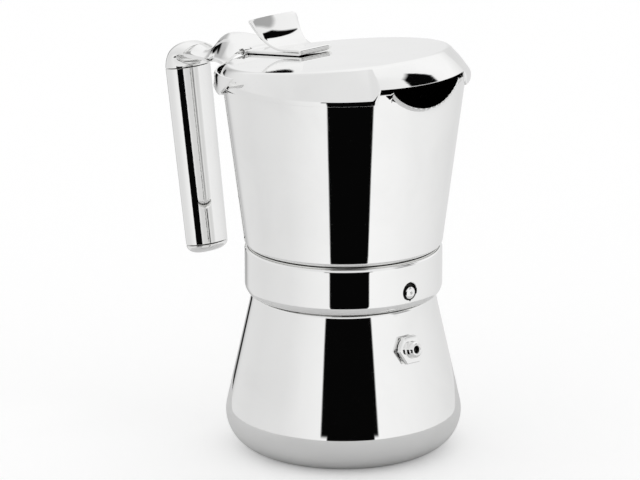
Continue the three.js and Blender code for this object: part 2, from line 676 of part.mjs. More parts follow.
const moka = new THREE.Group();
moka.name = 'moka_pot';
moka.add(
  piece('boiler_shell', boilerShell(), polished()),
  piece('lug_ring', lugRing(), satin()),
  ...valvePieces(),
  piece('basket_cup', basketCup(), satin()),
  piece('basket_sieve', basketSieve(), satin()),
  piece('funnel_stem', funnelStem(), satin()),
  piece('gasket', gasket(), silicone()),
  piece('filter_plate', filterPlate(), satin()),
  piece('seat_ring', seatRing(), satin()),
  piece('collar', collar(), polished()),
  ...lockPinPieces(),
  piece('jug_shell', jugShell(), polished()),
  piece('column', column(), satin()),
  piece('column_cap', columnCap(), satin()),
  piece('lid_shell', lidShell(), polished()),
  piece('lid_lever', lidLever(), polished()),
  piece('bridge', bridge(), polished()),
  piece('hinge_pin', hingePin(), satin()),
  piece('handle_grip', gripTube(), polished()),
  piece('handle_cap', gripCap(), polished()),
  piece('handle_elbow', gripElbow(), polished()),
);

export default moka;
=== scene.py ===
"""Stovetop moka pot in polished steel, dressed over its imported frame.

Every size is in millimetres until a mesh is made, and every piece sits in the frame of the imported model:
+Z up from the flat base, +X to the pouring notch, -X to the handle.
"""
import logging
import math
from dataclasses import dataclass, field
from enum import Enum
from typing import Callable, Iterable, Sequence

import bmesh
import bpy
from mathutils import Matrix, Vector

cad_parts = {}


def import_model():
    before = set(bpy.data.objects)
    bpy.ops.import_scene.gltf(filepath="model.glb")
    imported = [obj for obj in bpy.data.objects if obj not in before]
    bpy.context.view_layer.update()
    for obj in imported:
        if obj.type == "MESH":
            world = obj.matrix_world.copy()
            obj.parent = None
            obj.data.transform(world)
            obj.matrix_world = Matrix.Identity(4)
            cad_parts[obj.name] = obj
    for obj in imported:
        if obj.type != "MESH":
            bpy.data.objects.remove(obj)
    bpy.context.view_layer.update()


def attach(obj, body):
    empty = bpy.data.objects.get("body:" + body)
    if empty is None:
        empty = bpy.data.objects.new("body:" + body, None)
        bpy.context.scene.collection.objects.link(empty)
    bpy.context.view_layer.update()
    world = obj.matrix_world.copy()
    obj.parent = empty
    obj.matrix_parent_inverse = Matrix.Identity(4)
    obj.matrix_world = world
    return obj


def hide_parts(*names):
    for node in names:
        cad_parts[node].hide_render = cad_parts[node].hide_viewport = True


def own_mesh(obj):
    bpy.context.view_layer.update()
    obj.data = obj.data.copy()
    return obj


log = logging.getLogger("moka_pot")

MM = 0.001
GAP = 0.3
SHEET = 1.0

Point = tuple[float, float]
Profile = list[Point]
Triple = tuple[float, float, float]
Loop = list[Vector]


class Body(Enum):
    """Rigid bodies of the frame."""

    BOILER = "boiler"
    PLUNGER = "plunger"
    BASKET = "basket"
    SEAL = "seal"
    JUG = "jug"
    PIN = "pin"
    LID = "lid"


class Slot(Enum):
    """Material slots of the record."""

    POLISHED = "polished_steel"
    SATIN = "satin_steel"
    SPRING = "spring_steel"
    SEAL = "seal_silicone"


class Grain(Enum):
    """Way in which the marks of polishing run on a metal."""

    ROUND = "round the pot's axis"
    UPRIGHT = "up and down"
    ACROSS = "across the pot"


# ---------------------------------------------------------------- finishes


def node(tree: bpy.types.NodeTree, kind: str, **values: object) -> bpy.types.Node:
    """Adds a node to a tree.

    Args:
        tree: Tree that gets the node.
        kind: Blender's name of the node type.
        values: Properties of the node, such as operation="ADD".

    Returns:
        The new node.
    """
    made = tree.nodes.new(kind)
    for key, value in values.items():
        setattr(made, key, value)
    return made


def feed(tree: bpy.types.NodeTree, socket: bpy.types.NodeSocket, value: object) -> None:
    """Links an output to a socket, or sets the socket to a plain value."""
    if isinstance(value, bpy.types.NodeSocket):
        tree.links.new(value, socket)
    else:
        socket.default_value = value


def maths(tree: bpy.types.NodeTree, operation: str, *inputs: object) -> bpy.types.NodeSocket:
    """Adds a Math node to a material's, world's or geometry tree and returns its result."""
    made = node(tree, "ShaderNodeMath", operation=operation)
    for socket, value in zip(made.inputs, inputs):
        feed(tree, socket, value)
    return made.outputs[0]


def ramp(tree: bpy.types.NodeTree, value: object, low: float, high: float, to_low: float = 0.0,
         to_high: float = 1.0, smooth: bool = False) -> bpy.types.NodeSocket:
    """Maps a value from one range to another and returns the clamped result."""
    kind = "SMOOTHSTEP" if smooth else "LINEAR"
    made = node(tree, "ShaderNodeMapRange", interpolation_type=kind)
    names = ("Value", "From Min", "From Max", "To Min", "To Max")
    for name, item in zip(names, (value, low, high, to_low, to_high)):
        feed(tree, made.inputs[name], item)
    return made.outputs[0]


def noise(tree: bpy.types.NodeTree, place: bpy.types.NodeSocket, scale: float, detail: float = 2.0,
          distortion: float = 0.0) -> bpy.types.NodeSocket:
    """Adds a noise texture and returns its strength."""
    made = node(tree, "ShaderNodeTexNoise")
    for name, value in (("Vector", place), ("Scale", scale), ("Detail", detail), ("Distortion", distortion)):
        feed(tree, made.inputs[name], value)
    return made.outputs[0]


def bump(tree: bpy.types.NodeTree, height: bpy.types.NodeSocket, strength: float, distance: float,
         under: bpy.types.NodeSocket | None = None) -> bpy.types.NodeSocket:
    """Adds a bump, over another one where it is given, and returns the normal."""
    made = node(tree, "ShaderNodeBump")
    for name, value in (("Height", height), ("Strength", strength), ("Distance", distance)):
        feed(tree, made.inputs[name], value)
    if under is not None:
        feed(tree, made.inputs["Normal"], under)
    return made.outputs[0]


def two_tone(tree: bpy.types.NodeTree, share: bpy.types.NodeSocket, tint: Triple,
             darker: float) -> bpy.types.NodeSocket:
    """Mixes a colour with a darker shade of itself and returns the result."""
    made = node(tree, "ShaderNodeMix", data_type="RGBA")
    feed(tree, made.inputs["Factor"], share)
    made.inputs["A"].default_value = (*tint, 1.0)
    made.inputs["B"].default_value = (*(c * darker for c in tint), 1.0)
    return made.outputs["Result"]


def flattened(tree: bpy.types.NodeTree, way: bpy.types.NodeSocket) -> bpy.types.NodeSocket:
    """Takes the height out of a vector and returns the result."""
    made = node(tree, "ShaderNodeVectorMath", operation="MULTIPLY")
    feed(tree, made.inputs[0], way)
    made.inputs[1].default_value = (1.0, 1.0, 0.0)
    return made.outputs[0]


def blank(name: str) -> tuple[bpy.types.Material, bpy.types.NodeTree, bpy.types.Node]:
    """Returns a new material with its tree and its main shader."""
    material = bpy.data.materials.new(name)
    material.use_nodes = True
    return material, material.node_tree, material.node_tree.nodes["Principled BSDF"]


@dataclass(frozen=True)
class SteelFinish:
    """Stainless steel with fine polishing marks, soft smudges and a faint unevenness of the pressed sheet.

    Attributes:
        name: Name of the material.
        tint: Colour of the metal.
        roughness: Lowest and highest roughness over the surface.
        grain: Way in which the marks run.
        marks: Depth of the marks as bump strength.
        waves: Depth of the sheet's unevenness as bump strength.
        fineness: Marks per metre across their run.
    """

    name: str
    tint: Triple
    roughness: tuple[float, float]
    grain: Grain = Grain.ROUND
    marks: float = 0.02
    waves: float = 0.01
    fineness: float = 2600.0

    def marks_place(self, tree: bpy.types.NodeTree) -> bpy.types.NodeSocket:
        """Returns coordinates that are stretched along the run of the marks."""
        place = node(tree, "ShaderNodeTexCoord").outputs["Object"]
        fine, slow = self.fineness, 14.0
        if self.grain is not Grain.ROUND:
            scale = (fine, fine, slow) if self.grain is Grain.UPRIGHT else (fine, slow, fine)
            mapping = node(tree, "ShaderNodeMapping")
            feed(tree, mapping.inputs["Vector"], place)
            mapping.inputs["Scale"].default_value = scale
            return mapping.outputs[0]
        apart = node(tree, "ShaderNodeSeparateXYZ")
        feed(tree, apart.inputs[0], place)
        x, y, z = apart.outputs
        squares = (maths(tree, "MULTIPLY", side, side) for side in (x, y))
        radius = maths(tree, "SQRT", maths(tree, "ADD", *squares))
        round_it = maths(tree, "MULTIPLY", maths(tree, "DIVIDE", x, radius), 2.0)
        together = node(tree, "ShaderNodeCombineXYZ")
        values = (maths(tree, "MULTIPLY", radius, fine), round_it, maths(tree, "MULTIPLY", z, fine))
        for socket, value in zip(together.inputs, values):
            feed(tree, socket, value)
        return together.outputs[0]

    def build(self) -> bpy.types.Material:
        """Returns the material."""
        material, tree, shader = blank(self.name)
        shader.inputs["Metallic"].default_value = 1.0
        place = node(tree, "ShaderNodeTexCoord").outputs["Object"]
        lines = noise(tree, self.marks_place(tree), scale=1.0, detail=3.0)
        smudge = noise(tree, place, scale=38.0, detail=4.0, distortion=0.6)
        sheet = noise(tree, place, scale=22.0, detail=1.0)
        mixed = maths(tree, "ADD", maths(tree, "MULTIPLY", lines, 0.35), maths(tree, "MULTIPLY", smudge, 0.65))
        feed(tree, shader.inputs["Roughness"], ramp(tree, mixed, 0.36, 0.66, *self.roughness))
        tone = two_tone(tree, ramp(tree, smudge, 0.4, 0.75), self.tint, darker=0.965)
        feed(tree, shader.inputs["Base Color"], tone)
        wave = bump(tree, sheet, strength=self.waves, distance=0.01)
        marks = bump(tree, lines, strength=self.marks, distance=0.0002, under=wave)
        feed(tree, shader.inputs["Normal"], marks)
        return material


@dataclass(frozen=True)
class SiliconeFinish:
    """Milky moulded silicone with a fine matte skin and a little dust in it.

    Attributes:
        name: Name of the material.
        tint: Colour of the rubber.
    """

    name: str
    tint: Triple

    def build(self) -> bpy.types.Material:
        """Returns the material."""
        material, tree, shader = blank(self.name)
        shader.inputs["Subsurface Weight"].default_value = 0.25
        shader.inputs["Subsurface Radius"].default_value = (0.002, 0.0018, 0.0015)
        place = node(tree, "ShaderNodeTexCoord").outputs["Object"]
        cloud = noise(tree, place, scale=120.0)
        feed(tree, shader.inputs["Base Color"], two_tone(tree, cloud, self.tint, darker=0.9))
        feed(tree, shader.inputs["Roughness"], ramp(tree, cloud, 0.3, 0.7, 0.42, 0.6))
        pores = noise(tree, place, scale=2400.0)
        feed(tree, shader.inputs["Normal"], bump(tree, pores, strength=0.15, distance=0.0002))
        return material


STEEL = (0.93, 0.93, 0.925)
MIRROR = SteelFinish("mirror_steel", STEEL, (0.015, 0.05))
MIRROR_GRIP = SteelFinish("mirror_steel_grip", STEEL, (0.02, 0.06), Grain.UPRIGHT)
MIRROR_STRAP = SteelFinish("mirror_steel_strap", STEEL, (0.015, 0.05), Grain.ACROSS)
SATIN = SteelFinish("satin_steel_inner", (0.74, 0.74, 0.72), (0.24, 0.38), Grain.ROUND, 0.25, 0.03, 1800.0)
WIRE = SteelFinish("spring_wire", (0.6, 0.6, 0.6), (0.2, 0.34), Grain.UPRIGHT, 0.15, 0.0, 4000.0)
# Painted shade: a near-black steel that stands in for the shade inside the valve's nose and inside the lock
# pin's window.
PAINTED_SHADE_STEEL = SteelFinish("painted_shade_steel", (0.035, 0.034, 0.033), (0.45, 0.6), Grain.UPRIGHT, 0.2, 0.0, 3000.0)
# Painted shade: a near-black steel for the jug's inner faces that stands in for the shade inside the closed
# jug.
PAINTED_SHADE_LINING = SteelFinish("painted_shade_lining_steel", (0.05, 0.05, 0.05), (0.34, 0.5), Grain.ROUND, 0.15, 0.02, 1800.0)
SEAL_WHITE = SiliconeFinish("seal_silicone_white", (0.86, 0.84, 0.79))


# ---------------------------------------------------------------- mesh making


def lerp(a: float, b: float, t: float) -> float:
    """Returns the value a share t of the way from a to b."""
    return a + (b - a) * t


def smoothstep(x: float, low: float, high: float) -> float:
    """Returns a smooth rise from 0 at low to 1 at high."""
    t = min(max((x - low) / (high - low), 0.0), 1.0)
    return t * t * (3.0 - 2.0 * t)


def polar(radius: float, azimuth: float, z: float) -> Vector:
    """Returns the point at a radius, an azimuth in degrees and a height."""
    turn = math.radians(azimuth)
    return Vector((radius * math.cos(turn), radius * math.sin(turn), z))


def cubic(t: float) -> tuple[float, float, float, float]:
    """Returns the shares of a cubic curve's four control points at a place on it."""
    return (1 - t) ** 3, 3 * t * (1 - t) ** 2, 3 * t * t * (1 - t), t ** 3


def cubic_slope(t: float) -> tuple[float, float, float, float]:
    """Returns the same four shares for the curve's direction."""
    return (-3 * (1 - t) ** 2, 3 * (1 - t) ** 2 - 6 * t * (1 - t), 6 * t * (1 - t) - 3 * t * t, 3 * t * t)


def past(t: float, start: float) -> float:
    """Returns how far t is on the way from start to 1, as a share."""
    return min(max((t - start) / (1 - start), 0.0), 1.0)


def rounded(corners: Sequence[tuple[float, float, float]], steps: int = 5) -> Profile:
    """Rounds the corners of a chain of straight lines.

    Args:
        corners: Points as (radius, height, size of the rounding there).
        steps: Pieces in each rounding.

    Returns:
        The chain, with the same number of points whatever its shape.
    """
    last = len(corners) - 1
    chain: Profile = []
    for i, (x, y, size) in enumerate(corners):
        if size <= 0 or i in (0, last):
            chain.append((x, y))
            continue
        here = Vector((x, y))
        before, after = Vector(corners[i - 1][:2]) - here, Vector(corners[i + 1][:2]) - here
        reach = min(size, before.length * 0.48, after.length * 0.48)
        start, end = here + before.normalized() * reach, here + after.normalized() * reach
        for j in range(steps + 1):
            t = j / steps
            p = start * (1 - t) ** 2 + here * 2 * t * (1 - t) + end * t ** 2
            chain.append((p.x, p.y))
    return chain


def arc(centre_r: float, centre_z: float, radius: float, start: float, end: float, steps: int) -> Profile:
    """Returns profile points along an arc, its angles in degrees from the outward direction."""
    angles = (math.radians(lerp(start, end, i / steps)) for i in range(steps + 1))
    return [(centre_r + radius * math.cos(a), centre_z + radius * math.sin(a)) for a in angles]


def mesh_from(name: str, points: Iterable[Vector], faces: Iterable[Sequence[int]]) -> bpy.types.Mesh:
    """Makes a mesh in metres from points in millimetres, its faces turned outwards."""
    mesh = bpy.data.meshes.new(name)
    mesh.from_pydata([tuple(p * MM) for p in points], [], list(faces))
    work = bmesh.new()
    work.from_mesh(mesh)
    bmesh.ops.remove_doubles(work, verts=work.verts, dist=1e-7)
    bmesh.ops.dissolve_degenerate(work, edges=work.edges, dist=1e-8)
    bmesh.ops.recalc_face_normals(work, faces=work.faces)
    work.to_mesh(mesh)
    work.free()
    return mesh


def lathe(name: str, profile: Profile, segments: int = 192) -> bpy.types.Mesh:
    """Turns a profile round the Z axis.

    Args:
        name: Name of the mesh.
        profile: Points as (radius, height). It starts and ends on the axis, or closes on itself.
        segments: Steps round the axis.

    Returns:
        The closed mesh.
    """
    loops = [[polar(r, 360.0 * i / segments, z) for r, z in profile] for i in range(segments)]
    return skin(name, loops, closed=True, ring=profile[0][0] > 0)


def skin(name: str, loops: Sequence[Loop], closed: bool = False, ring: bool = True) -> bpy.types.Mesh:
    """Skins a row of loops.

    Args:
        name: Name of the mesh.
        loops: Loops of points, all with the same count.
        closed: Whether the row of loops comes back to its start.
        ring: Whether each loop closes on itself.

    Returns:
        The closed mesh, capped at both ends if the row is open.
    """
    count = len(loops[0])
    points = [p for loop in loops for p in loop]
    rows = len(loops) if closed else len(loops) - 1
    columns = count if ring else count - 1
    faces: list[Sequence[int]] = []
    for i in range(rows):
        here, there = i * count, ((i + 1) % len(loops)) * count
        for j in range(columns):
            k = (j + 1) % count
            faces.append((here + j, here + k, there + k, there + j))
    if not closed:
        faces.append(tuple(range(count)))
        faces.append(tuple(range((len(loops) - 1) * count, len(loops) * count)))
    return mesh_from(name, points, faces)


def stand(mesh: bpy.types.Mesh, origin: Vector, direction: Vector) -> bpy.types.Mesh:
    """Moves a mesh made along +Z to a point, its axis along a direction and its Y level, and returns it."""
    axis = direction.normalized()
    level = Vector((0, 0, 1)).cross(axis).normalized()
    turn = Matrix((level.cross(axis), level, axis)).transposed().to_4x4()
    mesh.transform(Matrix.Translation(origin * MM) @ turn)
    return mesh


def cut(target: bpy.types.Mesh, cutter: bpy.types.Mesh) -> bpy.types.Mesh:
    """Cuts one mesh out of another and returns the result as a new mesh."""
    pieces = [bpy.data.objects.new(m.name, m) for m in (target, cutter)]
    for item in pieces:
        bpy.context.scene.collection.objects.link(item)
    tool = pieces[0].modifiers.new("cut", "BOOLEAN")
    tool.operation, tool.object, tool.solver = "DIFFERENCE", pieces[1], "EXACT"
    result = baked(pieces[0], target.name)
    bpy.data.objects.remove(pieces[1])
    return result


def baked(item: bpy.types.Object, name: str) -> bpy.types.Mesh:
    """Returns an object's evaluated mesh as a plain one and removes the object."""
    graph = bpy.context.evaluated_depsgraph_get()
    result = bpy.data.meshes.new_from_object(item.evaluated_get(graph))
    bpy.data.objects.remove(item)
    result.name = name
    return result


def joined(name: str, meshes: Sequence[bpy.types.Mesh]) -> bpy.types.Mesh:
    """Puts several meshes in one."""
    work = bmesh.new()
    for mesh in meshes:
        work.from_mesh(mesh)
    result = bpy.data.meshes.new(name)
    work.to_mesh(result)
    work.free()
    return result


def bayonet_lug(root: float, reach: float, faces: Point, azimuth: float, half: float,
                steps: int) -> bpy.types.Mesh:
    """Makes one lug of the bayonet, drawn in at both ends.

    Args:
        root: Radius that it grows from.
        reach: Radius of its tip.
        faces: Heights of its two faces, the one that its section starts from first.
        azimuth: Place of its middle in degrees.
        half: Half its width in degrees.
        steps: Pieces along its width.

    Returns:
        The closed lug.
    """
    first, second = faces
    loops = []
    for i in range(steps + 1):
        share = lerp(-1, 1, i / steps)
        tip = lerp(reach, root + math.copysign(0.2, reach - root), smoothstep(abs(share), 0.86, 1.0))
        section = rounded([(root, first, 0), (tip, first, 0.3), (tip, second, 0.3), (root, second, 0)], 3)
        loops.append([polar(r, azimuth + share * half, z) for r, z in section])
    return skin("lug", loops)


@dataclass(frozen=True)
class Station:
    """Place on a bent strip of sheet.

    Attributes:
        x: Place of its middle along X.
        z: Height of its middle.
        near: Half width towards -Y.
        far: Half width towards +Y.
        sag: How far the middle lies below the edges.
    """

    x: float
    z: float
    near: float
    far: float
    sag: float = 0.0

    def point(self, normal: Vector, y: float, out: float) -> Vector:
        """Returns the point at a place across the strip and a height over its middle sheet."""
        half = (self.far + self.near) / 2
        sag = self.sag * (1 - min(abs(y / half), 1.0) ** 2)
        return Vector((self.x, (self.far - self.near) / 2 + y, self.z)) + normal * (out - sag)

def along_path(name: str, stations: Sequence[Station], thick: float, edge: float = 0.3) -> bpy.types.Mesh:
    """Bends a strip of sheet along a path in the XZ plane.

    Args:
        name: Name of the mesh.
        stations: Places that the strip passes through.
        thick: Thickness of the sheet.
        edge: Rounding of its long edges.

    Returns:
        The strip as a closed mesh.
    """
    columns = 13
    loops: list[Loop] = []
    for i, here in enumerate(stations):
        after, before = stations[min(i + 1, len(stations) - 1)], stations[max(i - 1, 0)]
        normal = Vector((before.z - after.z, 0, after.x - before.x)).normalized()
        half = (here.far + here.near) / 2
        loop: Loop = []
        for side, up, start in ((1, -1, -90), (1, 1, 0), (-1, 1, 90), (-1, -1, 180)):
            for turn in (start, start + 45, start + 90):
                a = math.radians(turn)
                loop.append(here.point(normal, side * (half - edge) + edge * math.cos(a),
                                       up * (thick / 2 - edge) + edge * math.sin(a)))
            if up == side:
                across = (side * lerp(half - edge, edge - half, j / columns) for j in range(1, columns))
                loop += [here.point(normal, y, side * thick / 2) for y in across]
        loops.append(loop)
    return skin(name, loops)


# ---------------------------------------------------------------- geometry nodes


@dataclass(frozen=True)
class NodeTool:
    """A Geometry Nodes modifier made in code.

    Attributes:
        name: Name of the tree.
        inputs: Names and default values of its sizes, in metres.
    """

    name: str
    inputs: dict[str, float]

    def tree(self) -> tuple[bpy.types.NodeTree, bpy.types.Node, bpy.types.Node]:
        """Returns a new tree with its group input and output."""
        tree = bpy.data.node_groups.new(self.name, "GeometryNodeTree")
        tree.interface.new_socket("Geometry", in_out="INPUT", socket_type="NodeSocketGeometry")
        tree.interface.new_socket("Geometry", in_out="OUTPUT", socket_type="NodeSocketGeometry")
        for name in self.inputs:
            tree.interface.new_socket(name, in_out="INPUT", socket_type="NodeSocketFloat")
        return tree, node(tree, "NodeGroupInput"), node(tree, "NodeGroupOutput")

    def close(self, tree: bpy.types.NodeTree, shape: bpy.types.NodeSocket, end: bpy.types.Node,
              material: bpy.types.Material) -> None:
        """Ends a tree in Realize Instances and Set Material."""
        real = node(tree, "GeometryNodeRealizeInstances")
        dress = node(tree, "GeometryNodeSetMaterial")
        feed(tree, real.inputs[0], shape)
        feed(tree, dress.inputs["Geometry"], real.outputs[0])
        dress.inputs["Material"].default_value = material
        feed(tree, end.inputs[0], dress.outputs[0])

    def run(self, tree: bpy.types.NodeTree, mesh: bpy.types.Mesh) -> bpy.types.Mesh:
        """Runs a tree on a mesh with this tool's sizes and returns the plain result."""
        item = bpy.data.objects.new(mesh.name, mesh)
        bpy.context.scene.collection.objects.link(item)
        modifier = item.modifiers.new(self.name, "NODES")
        modifier.node_group = tree
        for socket in tree.interface.items_tree:
            if socket.in_out == "INPUT" and socket.name in self.inputs:
                modifier[socket.identifier] = self.inputs[socket.name]
        return baked(item, mesh.name)


class CoilTool(NodeTool):
    """Winds a round wire into a coil about +Z."""

    def make(self, name: str, material: bpy.types.Material) -> bpy.types.Mesh:
        """Returns the coil as a mesh."""
        tree, start, end = self.tree()
        spiral = node(tree, "GeometryNodeCurveSpiral")
        spiral.inputs["Resolution"].default_value = 20
        sizes = {"Rotations": "Turns", "Start Radius": "Coil Radius", "End Radius": "Coil Radius",
                 "Height": "Height"}
        for socket, size in sizes.items():
            feed(tree, spiral.inputs[socket], start.outputs[size])
        wire = node(tree, "GeometryNodeCurvePrimitiveCircle")
        wire.inputs["Resolution"].default_value = 10
        feed(tree, wire.inputs["Radius"], start.outputs["Wire Radius"])
        sweep = node(tree, "GeometryNodeCurveToMesh")
        feed(tree, sweep.inputs["Curve"], spiral.outputs[0])
        feed(tree, sweep.inputs["Profile Curve"], wire.outputs[0])
        sweep.inputs["Fill Caps"].default_value = True
        self.close(tree, sweep.outputs[0], end, material)
        return self.run(tree, bpy.data.meshes.new(name))


class PunchTool(NodeTool):
    """Punches round holes through a plate, in staggered rows inside a round field."""

    def make(self, plate: bpy.types.Mesh, material: bpy.types.Material) -> bpy.types.Mesh:
        """Returns the punched plate."""
        tree, start, end = self.tree()
        sizes = {socket.name: socket for socket in start.outputs}
        pitch = sizes["Pitch"]
        span = maths(tree, "MULTIPLY", sizes["Field Radius"], 2.0)
        rows = maths(tree, "FLOOR", maths(tree, "DIVIDE", span, pitch))
        count = maths(tree, "ADD", rows, 1.0)
        grid = node(tree, "GeometryNodeMeshGrid")
        size = maths(tree, "MULTIPLY", rows, pitch)
        for name, value in (("Size X", size), ("Size Y", size), ("Vertices X", count), ("Vertices Y", count)):
            feed(tree, grid.inputs[name], value)
        apart = node(tree, "ShaderNodeSeparateXYZ")
        feed(tree, apart.inputs[0], node(tree, "GeometryNodeInputPosition").outputs[0])
        row = maths(tree, "ROUND", maths(tree, "DIVIDE", apart.outputs[1], pitch))
        shift = maths(tree, "MULTIPLY", maths(tree, "MODULO", maths(tree, "ABSOLUTE", row), 2.0), 0.5)
        offset = node(tree, "ShaderNodeCombineXYZ")
        feed(tree, offset.inputs[0], maths(tree, "MULTIPLY", shift, pitch))
        feed(tree, offset.inputs[2], sizes["Height"])
        move = node(tree, "GeometryNodeSetPosition")
        feed(tree, move.inputs["Geometry"], grid.outputs["Mesh"])
        feed(tree, move.inputs["Offset"], offset.outputs[0])
        reach = node(tree, "ShaderNodeVectorMath", operation="LENGTH")
        feed(tree, reach.inputs[0], flattened(tree, node(tree, "GeometryNodeInputPosition").outputs[0]))
        trim = node(tree, "GeometryNodeDeleteGeometry", domain="POINT")
        feed(tree, trim.inputs["Geometry"], move.outputs[0])
        feed(tree, trim.inputs["Selection"],
             maths(tree, "GREATER_THAN", reach.outputs["Value"], sizes["Field Radius"]))
        punch = node(tree, "GeometryNodeMeshCylinder")
        punch.inputs["Vertices"].default_value = 12
        punch.inputs["Depth"].default_value = 0.004
        feed(tree, punch.inputs["Radius"], sizes["Hole Radius"])
        spread = node(tree, "GeometryNodeInstanceOnPoints")
        feed(tree, spread.inputs["Points"], trim.outputs[0])
        feed(tree, spread.inputs["Instance"], punch.outputs["Mesh"])
        real = node(tree, "GeometryNodeRealizeInstances")
        feed(tree, real.inputs[0], spread.outputs[0])
        away = node(tree, "GeometryNodeMeshBoolean", operation="DIFFERENCE")
        feed(tree, away.inputs["Mesh 1"], start.outputs[0])
        feed(tree, away.inputs["Mesh 2"], real.outputs[0])
        self.close(tree, away.outputs["Mesh"], end, material)
        return self.run(tree, plate)


# ---------------------------------------------------------------- sub-assemblies


@dataclass
class SubAssembly:
    """A group of pieces on one body or more.

    Attributes:
        materials: Finished materials by finish.
    """

    materials: dict[str, bpy.types.Material] = field(default_factory=dict)

    def material(self, finish: SteelFinish | SiliconeFinish) -> bpy.types.Material:
        """Returns the finish's material, made on its first use."""
        if finish.name not in self.materials:
            self.materials[finish.name] = finish.build()
        return self.materials[finish.name]

    def add(self, name: str, mesh: bpy.types.Mesh, finish: SteelFinish | SiliconeFinish, body: Body,
            slot: Slot, *nodes: str, sharp: float = 32.0,
            lining: SteelFinish | None = None) -> bpy.types.Object:
        """Adds a finished piece to the scene.

        Args:
            name: Name of the piece.
            mesh: Its mesh, in place, in metres.
            finish: Its finish.
            body: Body that it rides on.
            slot: Record slot of its finish; not used.
            nodes: Frame nodes that it stands for.
            sharp: Angle in degrees past which an edge stays sharp.
            lining: Finish of the faces that look at the pot's axis, where it differs.

        Returns:
            The piece.
        """
        mesh.materials.clear()
        mesh.materials.append(self.material(finish))
        mesh.polygons.foreach_set("material_index", [0] * len(mesh.polygons))
        if lining:
            mesh.materials.append(self.material(lining))
            for face in mesh.polygons:
                side = Vector((face.center.x, face.center.y, 0)).normalized()
                face.material_index = int(face.normal.dot(side) < -0.5)
        mesh.shade_smooth()
        mesh.set_sharp_from_angle(angle=math.radians(sharp))
        piece = bpy.data.objects.new(name, mesh)
        bpy.context.scene.collection.objects.link(piece)
        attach(piece, body.value)
        if nodes:
            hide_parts(*nodes)
        log.info("%s: %d faces on %s", name, len(mesh.polygons), body.value)
        return piece


@dataclass
class Boiler(SubAssembly):
    """Lower vessel with its lug ring."""

    base_radius: float = 37.7
    base_fillet: float = 17.0
    lean: float = 0.223
    cone_top: float = 72.57
    wall: float = 1.2
    shoulder: float = 2.4
    neck_radius: float = 40.6
    neck_top: float = 90.0
    lug_azimuths: tuple[float, ...] = (60.0, 180.0, 300.0)
    lug_half: float = 17.0
    lug_low: float = 77.5
    lug_high: float = 79.0
    lug_reach: float = 42.5
    ring_top: float = 84.0

    def cone(self, z: float) -> float:
        """Returns the outer radius of the cone at a height."""
        side = self.base_radius + self.base_fillet * math.hypot(1, self.lean)
        return side - self.lean * (z - self.base_fillet)

    def profile(self) -> Profile:
        """Returns the outline of the pressed shell."""
        tilt = math.degrees(math.atan(self.lean))
        sr = self.cone(self.cone_top) - self.shoulder * math.cos(math.radians(tilt))
        sz = self.cone_top - self.shoulder * math.sin(math.radians(tilt))
        turn = math.degrees(math.acos((self.neck_radius - sr) / self.shoulder))
        inner, inner_top = self.neck_radius - SHEET, self.cone_top - self.wall
        wall_rows = [(self.cone(z), z) for z in range(22, 72, 2)]
        inner_rows = [(self.cone(z) - self.wall, z) for z in range(68, 20, -4)]
        neck = rounded([(self.neck_radius, 88.0, 0), (self.neck_radius, self.neck_top, 0.4),
                        (inner, self.neck_top, 0.4), (inner, 88.0, 0)], 4)
        return [
            (0.0, 0.35), (self.base_radius - 6.2, 0.35), (self.base_radius - 5.6, 0.0),
            *arc(self.base_radius, self.base_fillet, self.base_fillet, -90, tilt, 40), *wall_rows,
            *arc(sr, sz, self.shoulder, tilt, turn, 12), (self.neck_radius, 76.0), *neck,
            (inner, self.cone_top + SHEET), (self.cone(inner_top) - self.wall, inner_top), *inner_rows,
            *arc(self.base_radius, self.base_fillet, self.base_fillet - self.wall, tilt, -90, 20),
            (0.0, self.wall),
        ]

    def build(self, valve: "Valve") -> None:
        """Makes the shell, with a hole for the valve, and the lug ring."""
        shell = lathe("boiler_body", self.profile(), 256)
        drill = valve.shank + GAP
        hole = lathe("hole", [(0, -6), (drill, -6), (drill, 6), (0, 6)], 32)
        shell = cut(shell, stand(hole, *valve.seat(self)))
        self.add("boiler_body", shell, MIRROR, Body.BOILER, Slot.POLISHED, "boiler_shell")
        inner = self.neck_radius + GAP
        outer = inner + 0.6
        band = lathe("band", rounded([
            (inner, 80, 0), (inner, self.lug_low, 0.15), (outer, self.lug_low, 0.15),
            (outer, self.ring_top, 0.3), (inner, self.ring_top, 0.15), (inner, 80, 0)]))
        faces = (self.lug_low, self.lug_high)
        lugs = [bayonet_lug(inner + 0.2, self.lug_reach, faces, azimuth, self.lug_half, steps=24)
                for azimuth in self.lug_azimuths]
        ring = joined("bayonet_ring", [band, *lugs])
        self.add("bayonet_ring", ring, SATIN, Body.BOILER, Slot.SATIN, "lug_ring")


